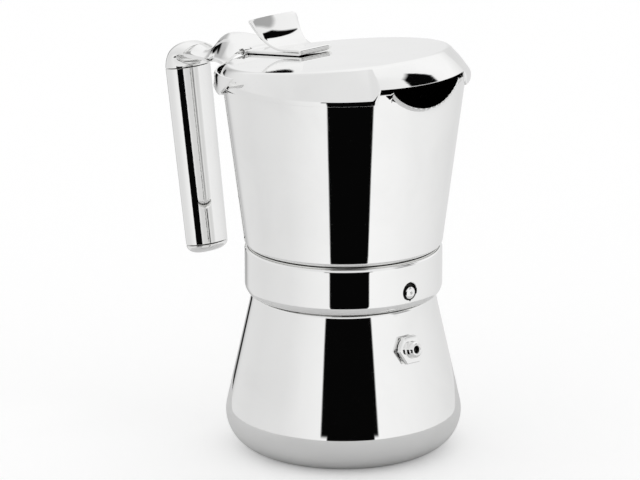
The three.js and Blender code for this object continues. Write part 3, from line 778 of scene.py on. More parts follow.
@dataclass
class Valve(SubAssembly):
    """Safety valve, square to the boiler's cone."""

    azimuth: float = -4.9
    height: float = 56.1
    flats: float = 12.5
    hex_thick: float = 2.2
    nose: float = 3.7
    nose_length: float = 3.7
    shank: float = 4.0
    bore: float = 1.6
    washer: float = 0.5
    nut: float = 2.5
    head: float = -1.5
    wire: float = 0.3
    coil_turns: float = 6.0

    def seat(self, boiler: Boiler) -> tuple[Vector, Vector]:
        """Returns the valve's place on the boiler and its outward direction."""
        tilt = math.atan(boiler.lean)
        axis = polar(math.cos(tilt), self.azimuth, math.sin(tilt))
        return polar(boiler.cone(self.height), self.azimuth, self.height), axis

    def hexagon(self, flats: float, low: float, high: float, bore: float,
                top_bevel: bool = True) -> bpy.types.Mesh:
        """Returns a hexagonal nut with a bore, its corners turned off in a cone."""
        count = 48
        loops = []
        for i in range(count):
            a = 360.0 * i / count + 30.0
            corner = flats / 2 / math.cos(math.radians((a + 30.0) % 60.0 - 30.0))
            top = [(corner, high, 0.1)]
            if top_bevel:
                top = [(corner, high - 0.3, 0.1), (corner - 0.35, high, 0.1)]
            section = rounded([(bore, low, 0), (corner - 0.15, low, 0.1), (corner, low + 0.25, 0.1), *top,
                               (bore, high, 0)], 3)
            loops.append([polar(r, a, z) for r, z in section])
        return skin("hexagon", loops, closed=True)

    def build(self, boiler: Boiler) -> None:
        """Makes the valve's pieces."""
        seat, axis = self.seat(boiler)
        low = GAP + self.washer + GAP
        high = low + self.hex_thick
        tip = high + self.nose_length
        inside = -(boiler.wall + GAP + 0.7)
        back = inside - self.nut
        body = joined("valve_housing", [
            self.hexagon(self.flats, low, high, self.shank - 0.3),
            lathe("nose", [
                (self.nose - 0.5, high - 0.6), *rounded([
                    (self.nose + 0.6, high - 0.3, 0), (self.nose, high + 0.5, 0.6),
                    (self.nose, tip - 1.1, 0.2), (self.nose - 1.0, tip, 0.7), (self.bore + 0.35, tip, 0.2),
                    (self.bore, tip - 0.5, 0.2), (self.bore, back, 0), (self.shank, back - 1, 0.4),
                    (self.shank, high - 0.6, 0),
                ], 5)], 96),
        ])
        body = stand(body, seat, axis)
        self.add("valve_housing", body, MIRROR_GRIP, Body.BOILER, Slot.POLISHED, "valve_body")
        inner, outer, top = self.shank + GAP, self.flats / 2 - 0.2, GAP + self.washer
        washer = lathe("valve_ring", rounded([
            (inner, 0.5, 0), (inner, GAP, 0.1), (outer, GAP, 0.15), (outer, top, 0.15), (inner, top, 0.1),
            (inner, 0.5, 0)]), 96)
        washer = stand(washer, seat, axis)
        self.add("valve_ring", washer, MIRROR_GRIP, Body.BOILER, Slot.POLISHED, "valve_washer")
        lock = stand(self.hexagon(self.flats - 2, back, inside, inner, top_bevel=False), seat, axis)
        self.add("valve_lock_nut", lock, SATIN, Body.BOILER, Slot.SATIN, "valve_nut")
        head, wide, thin = self.head, self.bore + 0.6, self.bore - GAP
        rod = lathe("valve_rod", rounded([
            (0, head - 1, 0), (wide, head - 1, 0.2), (wide, head, 0.1), (thin, head, 0.1),
            (thin, tip - 2, 0.5), (0, tip - 1.4, 0)]), 48)
        # The valve rod wears the near-black painted shade steel, so the hole in the valve's nose reads as
        # shade.
        self.add("valve_rod", stand(rod, seat, axis), PAINTED_SHADE_STEEL, Body.PLUNGER, Slot.SATIN, "valve_plunger")
        stop = high - 1.5
        coil = CoilTool("valve_coil", {
            "Turns": self.coil_turns, "Coil Radius": (self.bore + 0.35) * MM, "Wire Radius": self.wire * MM,
            "Height": (stop - head - GAP - 0.6) * MM})
        mesh = coil.make("valve_coil", self.material(WIRE))
        mesh.transform(Matrix.Translation((0, 0, (head + GAP + self.wire) * MM)))
        mesh = stand(mesh, seat, axis)
        spring = self.add("valve_coil", mesh, WIRE, Body.BOILER, Slot.SPRING, "valve_spring")
        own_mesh(spring)


@dataclass
class Basket(SubAssembly):
    """Coffee basket with its perforated floor and funnel stem."""

    radius: float = 37.6
    flange: float = 40.4
    floor: float = 64.5
    flange_low: float = 90.3
    rim: float = 91.3
    wall: float = 0.9
    stem: float = 5.0
    stem_low: float = 10.0
    mouth: float = 9.0
    hole: float = 0.75
    pitch: float = 3.6

    def build(self) -> None:
        """Makes the cup, the sieve and the stem."""
        neck, wall = self.stem + GAP, self.wall
        cup = lathe("coffee_cup", rounded([
            (neck, self.floor + 0.4, 0), (neck, self.floor, 0.15), (self.radius, self.floor, 2.4),
            (self.radius, self.flange_low, 0.5), (self.flange, self.flange_low, 0.3),
            (self.flange, self.rim, 0.45), (self.radius - wall, self.rim, 0.9),
            (self.radius - wall, self.floor + wall, 1.6), (neck, self.floor + wall, 0.15),
            (neck, self.floor + 0.4, 0)], 6))
        self.add("coffee_cup", cup, SATIN, Body.BASKET, Slot.SATIN, "basket_cup")
        low = self.floor + self.wall + 1.6
        edge = self.radius - self.wall - GAP
        sieve = lathe("coffee_sieve", rounded([(0, low, 0), (edge, low, 0.2), (edge, low + 0.7, 0.2),
                                               (0, low + 0.7, 0)], 2), 96)
        punch = PunchTool("sieve_holes", {"Field Radius": (edge - 4) * MM, "Pitch": self.pitch * MM,
                                          "Hole Radius": self.hole * MM, "Height": (low + 0.35) * MM})
        self.add("coffee_sieve", punch.make(sieve, self.material(SATIN)), SATIN, Body.BASKET, Slot.SATIN,
                 "basket_sieve")
        top, bore = self.floor - GAP, self.stem - wall
        stem = lathe("funnel_tube", rounded([
            (bore, 12, 0), (bore, self.stem_low, 0.3), (self.stem, self.stem_low, 0.3),
            (self.stem, top - 3, 2.0), (self.mouth, top, 0.2), (self.mouth - 1.2, top, 0.2),
            (bore, top - 2.4, 1.5), (bore, 12, 0)]), 96)
        self.add("funnel_tube", stem, SATIN, Body.BASKET, Slot.SATIN, "funnel_stem")


@dataclass
class Seal(SubAssembly):
    """Silicone gasket and dished filter plate under the jug."""

    inner: float = 34.0
    outer: float = 41.5
    low: float = 91.6
    thick: float = 3.0
    bowl: float = 33.2
    plate: float = 0.8
    hole: float = 0.6
    pitch: float = 3.2

    def build(self) -> None:
        """Makes the gasket and the filter plate."""
        high = self.low + self.thick
        ring = lathe("seal_ring", rounded([
            (self.inner, self.low + 1.5, 0), (self.inner, self.low, 0.9), (self.outer, self.low, 0.9),
            (self.outer, high, 0.9), (self.inner, high, 0.9), (self.inner, self.low + 1.5, 0)], 6))
        self.add("seal_ring", ring, SEAL_WHITE, Body.SEAL, Slot.SEAL, "gasket")
        rim = high + GAP
        dish = rim - 2.4
        plate = lathe("filter_disc", rounded([
            (0, dish, 0), (self.bowl - 1.5, dish, 0.8), (self.bowl, rim, 0.8), (self.outer, rim, 0.2),
            (self.outer, rim + self.plate, 0.2), (self.bowl - 0.6, rim + self.plate, 0.6),
            (self.bowl - 2.1, dish + self.plate, 0.6), (0, dish + self.plate, 0)], 3), 96)
        punch = PunchTool("filter_holes", {"Field Radius": (self.bowl - 4) * MM, "Pitch": self.pitch * MM,
                                           "Hole Radius": self.hole * MM, "Height": (dish + 0.4) * MM})
        disc = punch.make(plate, self.material(SATIN))
        self.add("filter_disc", disc, SATIN, Body.SEAL, Slot.SATIN, "filter_plate")


@dataclass
class Collar(SubAssembly):
    """Bayonet collar under the jug, with the window, the sprung lock pin and the seal's seat."""

    radius: float = 45.7
    low: float = 74.7
    high: float = 96.3
    curl: float = 6.6
    curl_height: float = 4.3
    top_round: float = 1.5
    lug_azimuths: tuple[float, ...] = (60.0, 180.0, 300.0)
    lug_half: float = 17.0
    lug_low: float = 75.6
    lug_high: float = 76.9
    lug_reach: float = 42.9
    window_azimuth: float = -2.3
    window_height: float = 83.0
    window_radius: float = 4.15
    pin_azimuth: float = -1.6
    pin_height: float = 82.2
    pin_radius: float = 2.8
    pin_tip: float = 45.9
    pin_thick: float = 1.0
    pin_stem: float = 1.1
    bush: float = 4.6
    bush_low: float = 43.2
    bush_high: float = 44.0
    dome: float = 7.0
    coil: float = 1.9
    wire: float = 0.16
    coil_turns: float = 2.5

    def profile(self) -> Profile:
        """Returns the section of the collar's sheet."""
        turn = math.degrees(math.asin(self.curl_height / self.curl))
        cr, cz = self.radius - self.curl, self.low + self.curl_height
        inner = self.radius - SHEET
        wall_rows = [(self.radius, z * 0.5) for z in range(160, 189)]
        return [
            *arc(cr, cz, self.curl, -turn, 0, 16), *wall_rows,
            *arc(self.radius - self.top_round, self.high - self.top_round, self.top_round, 0, 75, 10),
            (inner, self.high - 0.3), (inner, 92.0), *arc(cr, cz, self.curl - SHEET, 0, -turn, 12),
        ]

    def build(self) -> None:
        """Makes the collar, the pin's pieces and the seat ring."""
        out = polar(1, self.window_azimuth, 0)
        mouth, face = self.window_radius, self.window_radius + 0.5
        drill = lathe("drill", [(0, 40), (mouth, 40), (mouth, self.radius - 0.35), (face, self.radius + 0.1),
                                (face, 49), (0, 49)], 72)
        drill = stand(drill, polar(0, 0, self.window_height), out)
        band = cut(lathe("lock_collar", self.profile(), 288), drill)
        root, faces = self.radius - SHEET - 0.4, (self.lug_high, self.lug_low)
        lugs = [bayonet_lug(root, self.lug_reach, faces, azimuth, self.lug_half, steps=16)
                for azimuth in self.lug_azimuths]
        self.add("lock_collar", joined("lock_collar", [band, *lugs]), MIRROR, Body.JUG, Slot.POLISHED, "collar")

        centre, out = polar(0, 0, self.pin_height), polar(1, self.pin_azimuth, 0)
        tip, back, stem = self.pin_tip, self.pin_tip - self.pin_thick, self.pin_stem
        clip, foot, seat = stem + 0.8, self.bush_low - 0.6, self.bush_low - GAP / 2
        turn = math.degrees(math.asin((self.pin_radius - 0.25) / self.dome))
        pin = lathe("lock_button", [
            (0, foot), (clip, foot), (clip, seat), (stem, seat), (stem, back), (self.pin_radius, back),
            (self.pin_radius, tip - 0.75), *arc(0, tip - self.dome, self.dome, 90 - turn, 84, 8),
            (0.62, tip - 0.15), (0.55, tip - 0.8), (0, tip - 0.85)], 72)
        pin = stand(pin, centre, out)
        self.add("lock_button", pin, MIRROR_GRIP, Body.PIN, Slot.POLISHED, "lock_pin")
        bore = stem + GAP
        bush = lathe("lock_bush", rounded([
            (bore, 43.6, 0), (bore, self.bush_low, 0.1), (self.bush, self.bush_low, 0.1),
            (self.bush, self.bush_high, 0.1), (bore, self.bush_high, 0.1), (bore, 43.6, 0)], 2), 64)
        # The bush behind the lock pin wears the near-black painted shade steel, so the window round the pin
        # reads as shade.
        self.add("lock_bush", stand(bush, centre, out), PAINTED_SHADE_STEEL, Body.JUG, Slot.SATIN, "lock_pin_bush")
        low, high = self.bush_high + 0.05, back - 0.05
        coil = CoilTool("lock_coil", {
            "Turns": self.coil_turns, "Coil Radius": self.coil * MM, "Wire Radius": self.wire * MM,
            "Height": (high - low - 2 * self.wire) * MM})
        mesh = coil.make("lock_coil", self.material(WIRE))
        mesh.transform(Matrix.Translation((0, 0, (low + self.wire) * MM)))
        mesh = stand(mesh, centre, out)
        spring = self.add("lock_coil", mesh, WIRE, Body.JUG, Slot.SPRING, "lock_pin_spring")
        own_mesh(spring)

        inner, roof, top, outer = 41.9, 96.0, 96.9, self.radius - SHEET - GAP
        low = roof - 7.6
        seat_ring = lathe("seal_seat", rounded([
            (inner, 92.0, 0), (inner, low, 0.3), (outer, low, 0.3), (outer, top, 0.3), (inner - 6, top, 0.2),
            (inner - 6, roof, 0.2), (inner, roof, 0.3), (inner, 92.0, 0)], 3))
        self.add("seal_seat", seat_ring, SATIN, Body.JUG, Slot.SATIN, "seat_ring")


@dataclass
class Jug(SubAssembly):
    """Upper vessel with its pouring notch, and the column inside it."""

    floor: float = 97.2
    bottom_radius: float = 45.6
    lean: float = 0.13
    fillet: float = 2.6
    rim_height: float = 175.3
    rim_slope: float = 0.091
    throat: float = 6.4
    notch_azimuth: float = -0.5
    notch_half: float = 20.0
    notch_depth: float = 10.0
    notch_top: float = 181.0
    lip_flare: float = 1.6
    lip_reach: float = 1.5
    column_foot: float = 11.0
    column_low: float = 8.0
    column_top: float = 5.4
    column_base: float = 98.5
    column_high: float = 160.0

    def wall(self, z: float) -> float:
        """Returns the outer radius of the wall at a height."""
        return self.bottom_radius + self.lean * (z - self.floor)

    def notch(self, turn: float) -> Point:
        """Returns the place across the jug and the height of the notch's edge, for -90 to 90 degrees."""
        a = math.radians(turn)
        return self.notch_half * math.sin(a), self.notch_top - self.notch_depth * math.cos(a) ** 1.5

    def columns(self) -> list[tuple[float, float]]:
        """Returns the azimuth and the rim's height of each column of the wall."""
        result: list[tuple[float, float]] = []
        for i in range(81):
            y, z = self.notch(lerp(-90, 90, i / 80))
            result.append((math.degrees(math.asin(y / self.wall(z))) + self.notch_azimuth, z))
        first, last = result[0][0], result[-1][0]
        for i in range(1, 300):
            azimuth = lerp(last, first + 360.0, i / 300)
            x = self.wall(self.rim_height) * math.cos(math.radians(azimuth))
            result.append((azimuth, self.rim_height + self.rim_slope * x))
        return result

    def flare(self, azimuth: float, z: float) -> float:
        """Returns how far the notch's edge is drawn outwards at a point of the wall."""
        off = math.radians(azimuth - self.notch_azimuth)
        if math.cos(off) < 0.6:
            return 0.0
        y = self.wall(z) * math.sin(off)
        edge = (self.notch(lerp(-90, 90, i / 60)) for i in range(61))
        near = min(math.hypot(y - edge_y, z - edge_z) for edge_y, edge_z in edge)
        return self.lip_flare * math.exp(-((near / self.lip_reach) ** 1.3))

    def column_loop(self, azimuth: float, rim: float) -> Loop:
        """Returns the closed section of the wall at one azimuth."""
        lean = math.degrees(math.atan(self.lean))
        corner = self.wall(self.floor + self.fillet) - self.fillet
        depths = (60, 50, 40, 30, 24, 18, 13, 9, 6.5, 4.8, 3.6, 2.7, 2.0, 1.4, 0.9, 0.5)
        low = self.floor + 6
        outer = [(self.wall(z), z) for z in (low, low + 5)]
        upper = []
        for depth in depths:
            z = rim - depth
            upper.append((self.wall(z) + self.flare(azimuth, z), z))
        lip_r = self.wall(rim) + self.flare(azimuth, rim)
        half = SHEET / 2
        lip = [(lip_r - half + half * math.cos(a), rim - 0.5 + 0.5 * math.sin(a))
               for a in (math.radians(t) for t in (0, 30, 60, 90, 120, 150, 180))]
        inner = [(r - SHEET, z) for r, z in reversed(upper)]
        section = [
            (self.throat, self.floor + 0.5), (self.throat, self.floor),
            *arc(corner, self.floor + self.fillet, self.fillet, -90, -lean, 14), *outer, *upper, *lip, *inner,
            *((r - SHEET, z) for r, z in reversed(outer)),
            *arc(corner, self.floor + self.fillet, self.fillet - SHEET, -lean, -90, 8),
            (self.throat, self.floor + SHEET), (self.throat, self.floor + 0.5),
        ]
        return [polar(r, azimuth, z) for r, z in section[:-1]]

    def build(self) -> None:
        """Makes the jug, the column and its cap."""
        shell = skin("jug_body", [self.column_loop(a, z) for a, z in self.columns()], closed=True)
        # The jug's inner faces get the near-black painted shade lining, standing in for the shade inside the
        # closed jug.
        self.add("jug_body", shell, MIRROR, Body.JUG, Slot.POLISHED, "jug_shell", sharp=50.0, lining=PAINTED_SHADE_LINING)
        low, high, wall = self.column_base, self.column_high, 1.0
        bore = self.column_low - wall
        tube = lathe("coffee_column", rounded([
            (bore - 0.6, low + 2, 0), (bore - 0.6, low, 0.3), (self.column_foot, low, 0.3),
            (self.column_foot, low + wall, 0.4), (self.column_low + 0.3, low + wall, 1.5),
            (self.column_low - 0.3, low + 6, 2.0), (self.column_top, high, 0.4),
            (self.column_top - wall, high, 0.4), (bore - 0.4, low + 6, 0.4), (bore - 0.6, low + 2, 0)]), 96)
        self.add("coffee_column", tube, SATIN, Body.JUG, Slot.SATIN, "column")
        bore = self.column_top + GAP
        outer = bore + 1
        cap = lathe("column_hood", [
            (bore, high - 4.7), (bore + 0.3, high - 5), (outer - 0.3, high - 5), (outer, high - 4.7),
            (outer, high + 6.6), *arc(outer - 1.2, high + 6.8, 1.2, 0, 55, 6),
            *arc(0, high + 1.3, 8.7, 50, 86, 8), (0, high + 10), (0, high + 9),
            *arc(0, high + 1.3, 7.6, 86, 50, 6), (bore, high + 6.4)], 96)
        cap = cut(cap, self.slot_cutter(high))
        self.add("column_hood", cap, SATIN, Body.JUG, Slot.SATIN, "column_cap")

    def slot_cutter(self, high: float) -> bpy.types.Mesh:
        """Returns the block that opens the cap's two side slots."""
        outline = rounded([(0, high + 1.5, 0), (2, high + 1.5, 0.8), (2, high + 5, 0.8), (-2, high + 5, 0.8),
                           (-2, high + 1.5, 0.8), (0, high + 1.5, 0)], 4)[:-1]
        return skin("slot", [[Vector((x, y, z)) for y, z in outline] for x in (-12, 12)])


@dataclass
class Lid(SubAssembly):
    """Hinged lid with its folded thumb lever."""

    plane_height: float = 185.5
    plane_slope: float = 0.13
    flat_radius: float = 50.8
    flat_offset: float = 3.8
    skirt_height: float = 174.5
    skirt_slope: float = 0.022
    rise: float = 2.2
    front_rise: float = 5.6
    beak: float = 1.3
    proud: float = 1.05
    cut_half: float = 28.0
    cut_height: float = 182.6
    lever_half: float = 10.0
    tip_half: float = 15.4
    dish: float = 1.2
    lever_thick: float = 1.2
    lever_front: float = -19.5
    fold_pitch: float = 1.5
    hinge_x: float = -57.0
    hinge_z: float = 178.8
    knuckle: float = 1.85
    bore: float = 1.2
    split: float = 6.0
    rest_path: tuple[Point, ...] = ((-43.6, 188.8), (-47.4, 196.1))

    def plane(self, x: float) -> float:
        """Returns the height of the lid's flat top."""
        return self.plane_height + self.plane_slope * x

    def section(self, jug: Jug, azimuth: float) -> Profile:
        """Returns the closed half section of the lid at an azimuth."""
        c = math.cos(math.radians(azimuth))
        flat_r = self.flat_radius - self.flat_offset * c
        flat_z = self.plane(flat_r * c)
        skirt_z = self.skirt_height + self.skirt_slope * jug.wall(self.skirt_height) * c
        turn = abs((azimuth + 540) % 360 - 180)
        front = 1 - smoothstep(turn, 50, 100)
        edge_z = skirt_z + lerp(self.front_rise, self.rise, smoothstep(turn, 28, 31))
        edge_r = jug.wall(edge_z) + self.proud + self.beak * front
        skirt_r = jug.wall(skirt_z) + self.proud + self.beak * front
        y = abs(skirt_r * math.sin(math.radians(azimuth)))
        opening = (1 - smoothstep(y, self.cut_half - 1.5, self.cut_half)) if c > 0 else 0.0
        middle = (lerp(flat_r, edge_r, 0.55), lerp(flat_z, edge_z, 0.48))
        share = min((middle[1] - self.cut_height) / (middle[1] - edge_z), 1.0)
        trim_r, trim_z = lerp(middle[0], edge_r, share), lerp(middle[1], edge_z, share)
        end_r, end_z = lerp(skirt_r, trim_r + 0.05, opening), lerp(skirt_z, trim_z - 0.2, opening)
        edge_r, edge_z = lerp(edge_r, trim_r, opening), lerp(edge_z, trim_z, opening)
        s, lip = SHEET, lerp(1.3, 0.1, opening)
        return rounded([
            (0, self.plane(0), 0), (flat_r, flat_z, 1.6), (*middle, 2.0), (edge_r, edge_z, lip),
            (end_r, end_z, 0.12), (end_r - 0.8 * s, end_z, 0.12), (edge_r - s, edge_z - 0.1 * s, 1.2),
            (middle[0] - 0.5 * s, middle[1] - 0.9 * s, 1.5), (flat_r - 0.4 * s, flat_z - s, 1.2),
            (0, self.plane(0) - s, 0)], 7)

    def shell(self, jug: Jug) -> bpy.types.Mesh:
        """Returns the pressed shell of the lid."""
        steps = 360
        loops = []
        for i in range(steps):
            azimuth = 360.0 * i / steps
            loops.append([polar(r, azimuth, z) for r, z in self.section(jug, azimuth)])
        return skin("lid_body", loops, closed=True, ring=False)

    def lever(self) -> bpy.types.Mesh:
        """Returns the folded lever with its hinge knuckle."""
        half, thick = self.lever_half, self.lever_thick
        lift = 0.35 + thick / 2
        low: Callable[[float], float] = lambda x: self.plane(x) + lift
        radius = self.fold_pitch / 2
        fold_z = low(self.lever_front) + radius
        root_z = self.hinge_z + self.knuckle - thick / 2
        lead = self.hinge_x + 3.4
        neck = self.split - GAP
        flat = [(self.hinge_x + 0.5, root_z, neck), (self.hinge_x + 2.0, root_z - 0.1, neck),
                (self.hinge_x + 2.6, root_z - 0.1, neck), (lead, low(lead) + 0.1, half)]
        front = self.lever_front
        flat += [(x, low(x), half) for x in (lead + 2.6, lead + 4.5, -46, -40, -34, -28, -23, front)]
        flat += [(front + radius * math.cos(a), fold_z + radius * math.sin(a), half)
                 for a in (math.radians(turn) for turn in range(-70, 71, 20))]
        flat += [(x, low(x) + self.fold_pitch, half) for x in (front, -23, -27)]
        stations = [Station(x, z, w, w) for x, z, w in flat]
        foot = low(-31) + self.fold_pitch
        control = ((-31.0, foot), (-38.0, foot - 0.2), *self.rest_path)
        steps = 28
        for i in range(steps + 1):
            t = i / steps
            x, z = (sum(w * p[side] for w, p in zip(cubic(t), control)) for side in (0, 1))
            near, far = (size * (1 - math.sqrt(max(0.0, 1 - past(t, start) ** 2)))
                         for size, start in ((0.8, 0.95), (3.0, 0.84)))
            width = lerp(half, self.tip_half, t ** 1.4)
            stations.append(Station(x, z, width - near, width - far, self.dish * smoothstep(t, 0.3, 1)))
        strip = along_path("lever", stations, thick)
        return joined("thumb_lever", [strip, barrel(self, -self.split + GAP, self.split - GAP)])

    def build(self, jug: Jug) -> None:
        """Makes the lid's shell and its lever."""
        self.add("lid_body", self.shell(jug), MIRROR, Body.LID, Slot.POLISHED, "lid_shell", sharp=50.0)
        self.add("thumb_lever", self.lever(), MIRROR_STRAP, Body.LID, Slot.POLISHED, "lid_lever", sharp=50.0)


def barrel(lid: Lid, low: float, high: float) -> bpy.types.Mesh:
    """Returns a rolled hinge knuckle between two places on the hinge's axis."""
    middle = (low + high) / 2
    roll = lathe("knuckle", rounded([
        (lid.bore, middle, 0), (lid.bore, low, 0.1), (lid.knuckle, low, 0.25), (lid.knuckle, high, 0.25),
        (lid.bore, high, 0.1), (lid.bore, middle, 0)], 4), 48)
    return stand(roll, Vector((lid.hinge_x, 0, lid.hinge_z)), Vector((0, 1, 0)))


@dataclass
class Handle(SubAssembly):
    """Bridge over the jug's rim with its hump, and the oval grip."""

    top: Point = (-106.0, 162.6)
    bottom: Point = (-93.7, 78.4)
    half_width: float = 12.2
    half_depth: float = 8.3
    taper: float = 0.93
    wall: float = 1.2
    saddle_end: float = 70.0
    saddle_radius: float = 57.7
    saddle_thick: float = 1.2
    foot_low: float = 170.9
    foot_high: float = 172.1
    saddle_below: float = 1.4
    strap_start: float = -98.5
    strap_thick: float = 1.5
    waist: float = 8.3
    wing: float = 28.0
    hinge_half: float = 10.0
    strap_half: float = 9.5
    strap_edge: float = 171.0
    elbow_corner: Point = (-106.0, 171.6)
    elbow_end: float = 170.8
    elbow_depth: float = 3.3
    plug: float = 4.2
    crest: tuple[Point, ...] = ((-98.5, 174.0), (-91.8, 172.7), (-86.2, 175.6), (-80.5, 181.2),
                                (-74.8, 183.7), (-67.4, 182.9), (-59.3, 179.9))

    def crest_at(self, t: float) -> Point:
        """Returns the crest line's point at a share of its length, by a Catmull-Rom curve."""
        points = self.crest
        p = (len(points) - 1) * t
        i = min(int(p), len(points) - 2)
        w = p - i
        ends = [points[max(i - 1, 0)], points[i], points[i + 1], points[min(i + 2, len(points) - 1)]]

        def blend(axis: int) -> float:
            """Returns one coordinate of the curve."""
            a, b, c, d = (e[axis] for e in ends)
            v0, v1 = (c - a) * 0.5, (d - b) * 0.5
            return (2 * b - 2 * c + v0 + v1) * w ** 3 + (-3 * b + 3 * c - 2 * v0 - v1) * w ** 2 + v0 * w + b
        return blend(0), blend(1)

    def strap(self, lid: Lid) -> bpy.types.Mesh:
        """Returns the strap with its hump, spreading to the rim."""
        rows, columns = 72, 61
        end = lid.hinge_x - 2.3
        loops: list[Loop] = []
        for i in range(rows + 1):
            t = i / rows
            x_mid, z_top = self.crest_at(t)
            half = (lerp(self.strap_half, self.waist, smoothstep(t, 0, 0.3)) if t < 0.3
                    else lerp(self.waist, self.wing, ((t - 0.3) / 0.7) ** 1.35))
            flat = 0.42 * smoothstep(t, 0.55, 1)
            top: Loop = []
            for j in range(columns):
                v = lerp(-1, 1, j / (columns - 1))
                y_end, x_end = abs(v) * self.wing, end
                if y_end >= self.hinge_half + 2:
                    x_end = -math.sqrt((self.saddle_radius + 0.2) ** 2 - y_end ** 2)
                rim_z = lid.plane(x_end) - self.saddle_below
                edge_z = lerp(self.strap_edge, rim_z, smoothstep(t, 0.3, 1))
                z = lerp(z_top, edge_z, smoothstep(past(abs(v), flat), 0, 1))
                top.append(Vector((x_mid + (x_end - end) * t ** 2, v * half, z)))
            under = [p - Vector((0, 0, self.strap_thick)) for p in reversed(top)]
            loops.append([*top, *under])
        return skin("strap", loops)

    def saddle(self, jug: Jug, lid: Lid) -> bpy.types.Mesh:
        """Returns the saddle round the back of the rim."""
        steps, lean = 80, 7.0
        r, thick = self.saddle_radius, self.saddle_thick
        loops: list[Loop] = []
        for i in range(steps + 1):
            share = lerp(-1, 1, i / steps)
            top_z = lid.plane(r * math.cos(math.radians(180 + share * self.saddle_end))) - self.saddle_below
            foot = jug.wall(self.foot_low) + GAP
            section = [(foot, self.foot_low, -1.0), (r + thick, self.foot_low, -1.0),
                       (r + thick + 0.5, self.foot_high, -0.8), (r + thick + 0.3, top_z - 1.2, 0.9),
                       (r + thick - 0.4, top_z, 1.0), (r, top_z, 1.0), (r, self.foot_high, -0.8),
                       (foot, self.foot_high, -0.8)]
            loops.append([polar(x, 180 + share * (self.saddle_end + k * lean), z) for x, z, k in section])
        return skin("saddle", loops)

    def bridge(self, jug: Jug, lid: Lid) -> bpy.types.Mesh:
        """Returns the whole bridge."""
        parts = [self.strap(lid), self.saddle(jug, lid)]
        for side in (-1, 1):
            low, high = sorted((side * lid.split, side * self.hinge_half))
            parts.append(barrel(lid, low, high))
        return joined("rim_bridge", parts)

    def axis_at(self, t: float) -> Vector:
        """Returns the centre of the grip at a share of its length from the top."""
        return Vector((lerp(self.top[0], self.bottom[0], t), 0, lerp(self.top[1], self.bottom[1], t)))

    def oval(self, centre: Vector, direction: Vector, depth: float, width: float, count: int = 96) -> Loop:
        """Returns an oval loop square to a direction in the XZ plane."""
        side = Vector((direction.z, 0, -direction.x)).normalized()
        turns = [math.tau * i / count for i in range(count)]
        return [centre + side * depth * math.cos(a) + Vector((0, width * math.sin(a), 0)) for a in turns]

    def plug_loops(self, up: Vector) -> list[Loop]:
        """Returns the loops of the domed plug in the grip's lower end."""
        depth, width = self.half_depth * self.taper, self.half_width * self.taper
        loops = [self.oval(self.axis_at(1) - up * GAP, up, depth - 0.4, width - 0.4)]
        for s in (i / 20.6 for i in range(1, 21)):
            inset = self.plug * (1 - math.sqrt(1 - s ** 2)) * 1.5
            centre = self.axis_at(1) - up * (GAP + self.plug * s)
            loops.append(self.oval(centre, up, depth - inset, width - inset))
        return loops

    def tube_loop(self, up: Vector, t: float, inset: float) -> Loop:
        """Returns a loop of the grip's wall at a share of its length from the top."""
        scale = lerp(1, self.taper, t)
        return self.oval(self.axis_at(t), up, self.half_depth * scale - inset, self.half_width * scale - inset)

    def build(self, jug: Jug, lid: Lid) -> None:
        """Makes the bridge, the hinge pin and the handle's three pieces."""
        bridge = self.bridge(jug, lid)
        self.add("rim_bridge", bridge, MIRROR_STRAP, Body.JUG, Slot.POLISHED, "bridge", sharp=50.0)
        end = self.hinge_half + 0.4
        pin = lathe("hinge_rod", rounded([(0, -end, 0), (0.9, -end, 0.2), (0.9, end, 0.2), (0, end, 0)]), 32)
        pin = stand(pin, Vector((lid.hinge_x, 0, lid.hinge_z)), Vector((0, 1, 0)))
        self.add("hinge_rod", pin, SATIN, Body.JUG, Slot.SATIN, "hinge_pin")
        up = (self.axis_at(0) - self.axis_at(1)).normalized()
        shares = [i / 40 for i in range(41)]
        outside = [self.tube_loop(up, max(t, 0.003), 0) for t in shares[:-1]]
        inside = [self.tube_loop(up, t, self.wall) for t in reversed(shares)]
        grip = skin("grip_tube", [self.tube_loop(up, 0, 0.35), *outside, self.tube_loop(up, 0.997, 0),
                                  self.tube_loop(up, 1, 0.35), *inside], closed=True)
        plug, elbow = skin("grip_plug", self.plug_loops(up)), self.elbow(up)
        for name, mesh, finish, part in (("grip_tube", grip, MIRROR_GRIP, "handle_grip"),
                                         ("grip_plug", plug, MIRROR_GRIP, "handle_cap"),
                                         ("grip_elbow", elbow, MIRROR_STRAP, "handle_elbow")):
            self.add(name, mesh, finish, Body.JUG, Slot.POLISHED, part, sharp=50.0)

    def elbow(self, up: Vector) -> bpy.types.Mesh:
        """Returns the elbow that turns the oval grip over into the strap."""
        x, z = self.elbow_corner
        control = (self.axis_at(0) + up * GAP, self.axis_at(0) + up * 6, Vector((x, 0, z)),
                   Vector((self.strap_start - GAP, 0, self.elbow_end)))
        steps = 40
        loops = []
        for i in range(steps + 1):
            t = i / steps
            centre, ahead = (sum((w * p for w, p in zip(shares(t), control)), Vector())
                             for shares in (cubic, cubic_slope))
            depth = lerp(self.half_depth, self.elbow_depth, smoothstep(t, 0, 0.95))
            loops.append(self.oval(centre, ahead, depth, lerp(self.half_width, self.strap_half, t)))
        return skin("grip_elbow", loops)


# ---------------------------------------------------------------- studio


@dataclass(frozen=True)
class Band:
    """Upright band of directions round the pot.

    Attributes:
        azimuth: Its middle in degrees.
        half: Half its width in degrees.
        soft: Width of its soft edges in degrees.
        bottom: Heights where it starts and is full.
        top: Heights where it ends and is full.
        smooth: Whether its lower and upper edges are rounded off.
    """

    azimuth: float
    half: float
    soft: float
    bottom: Point
    top: Point
    smooth: bool = True


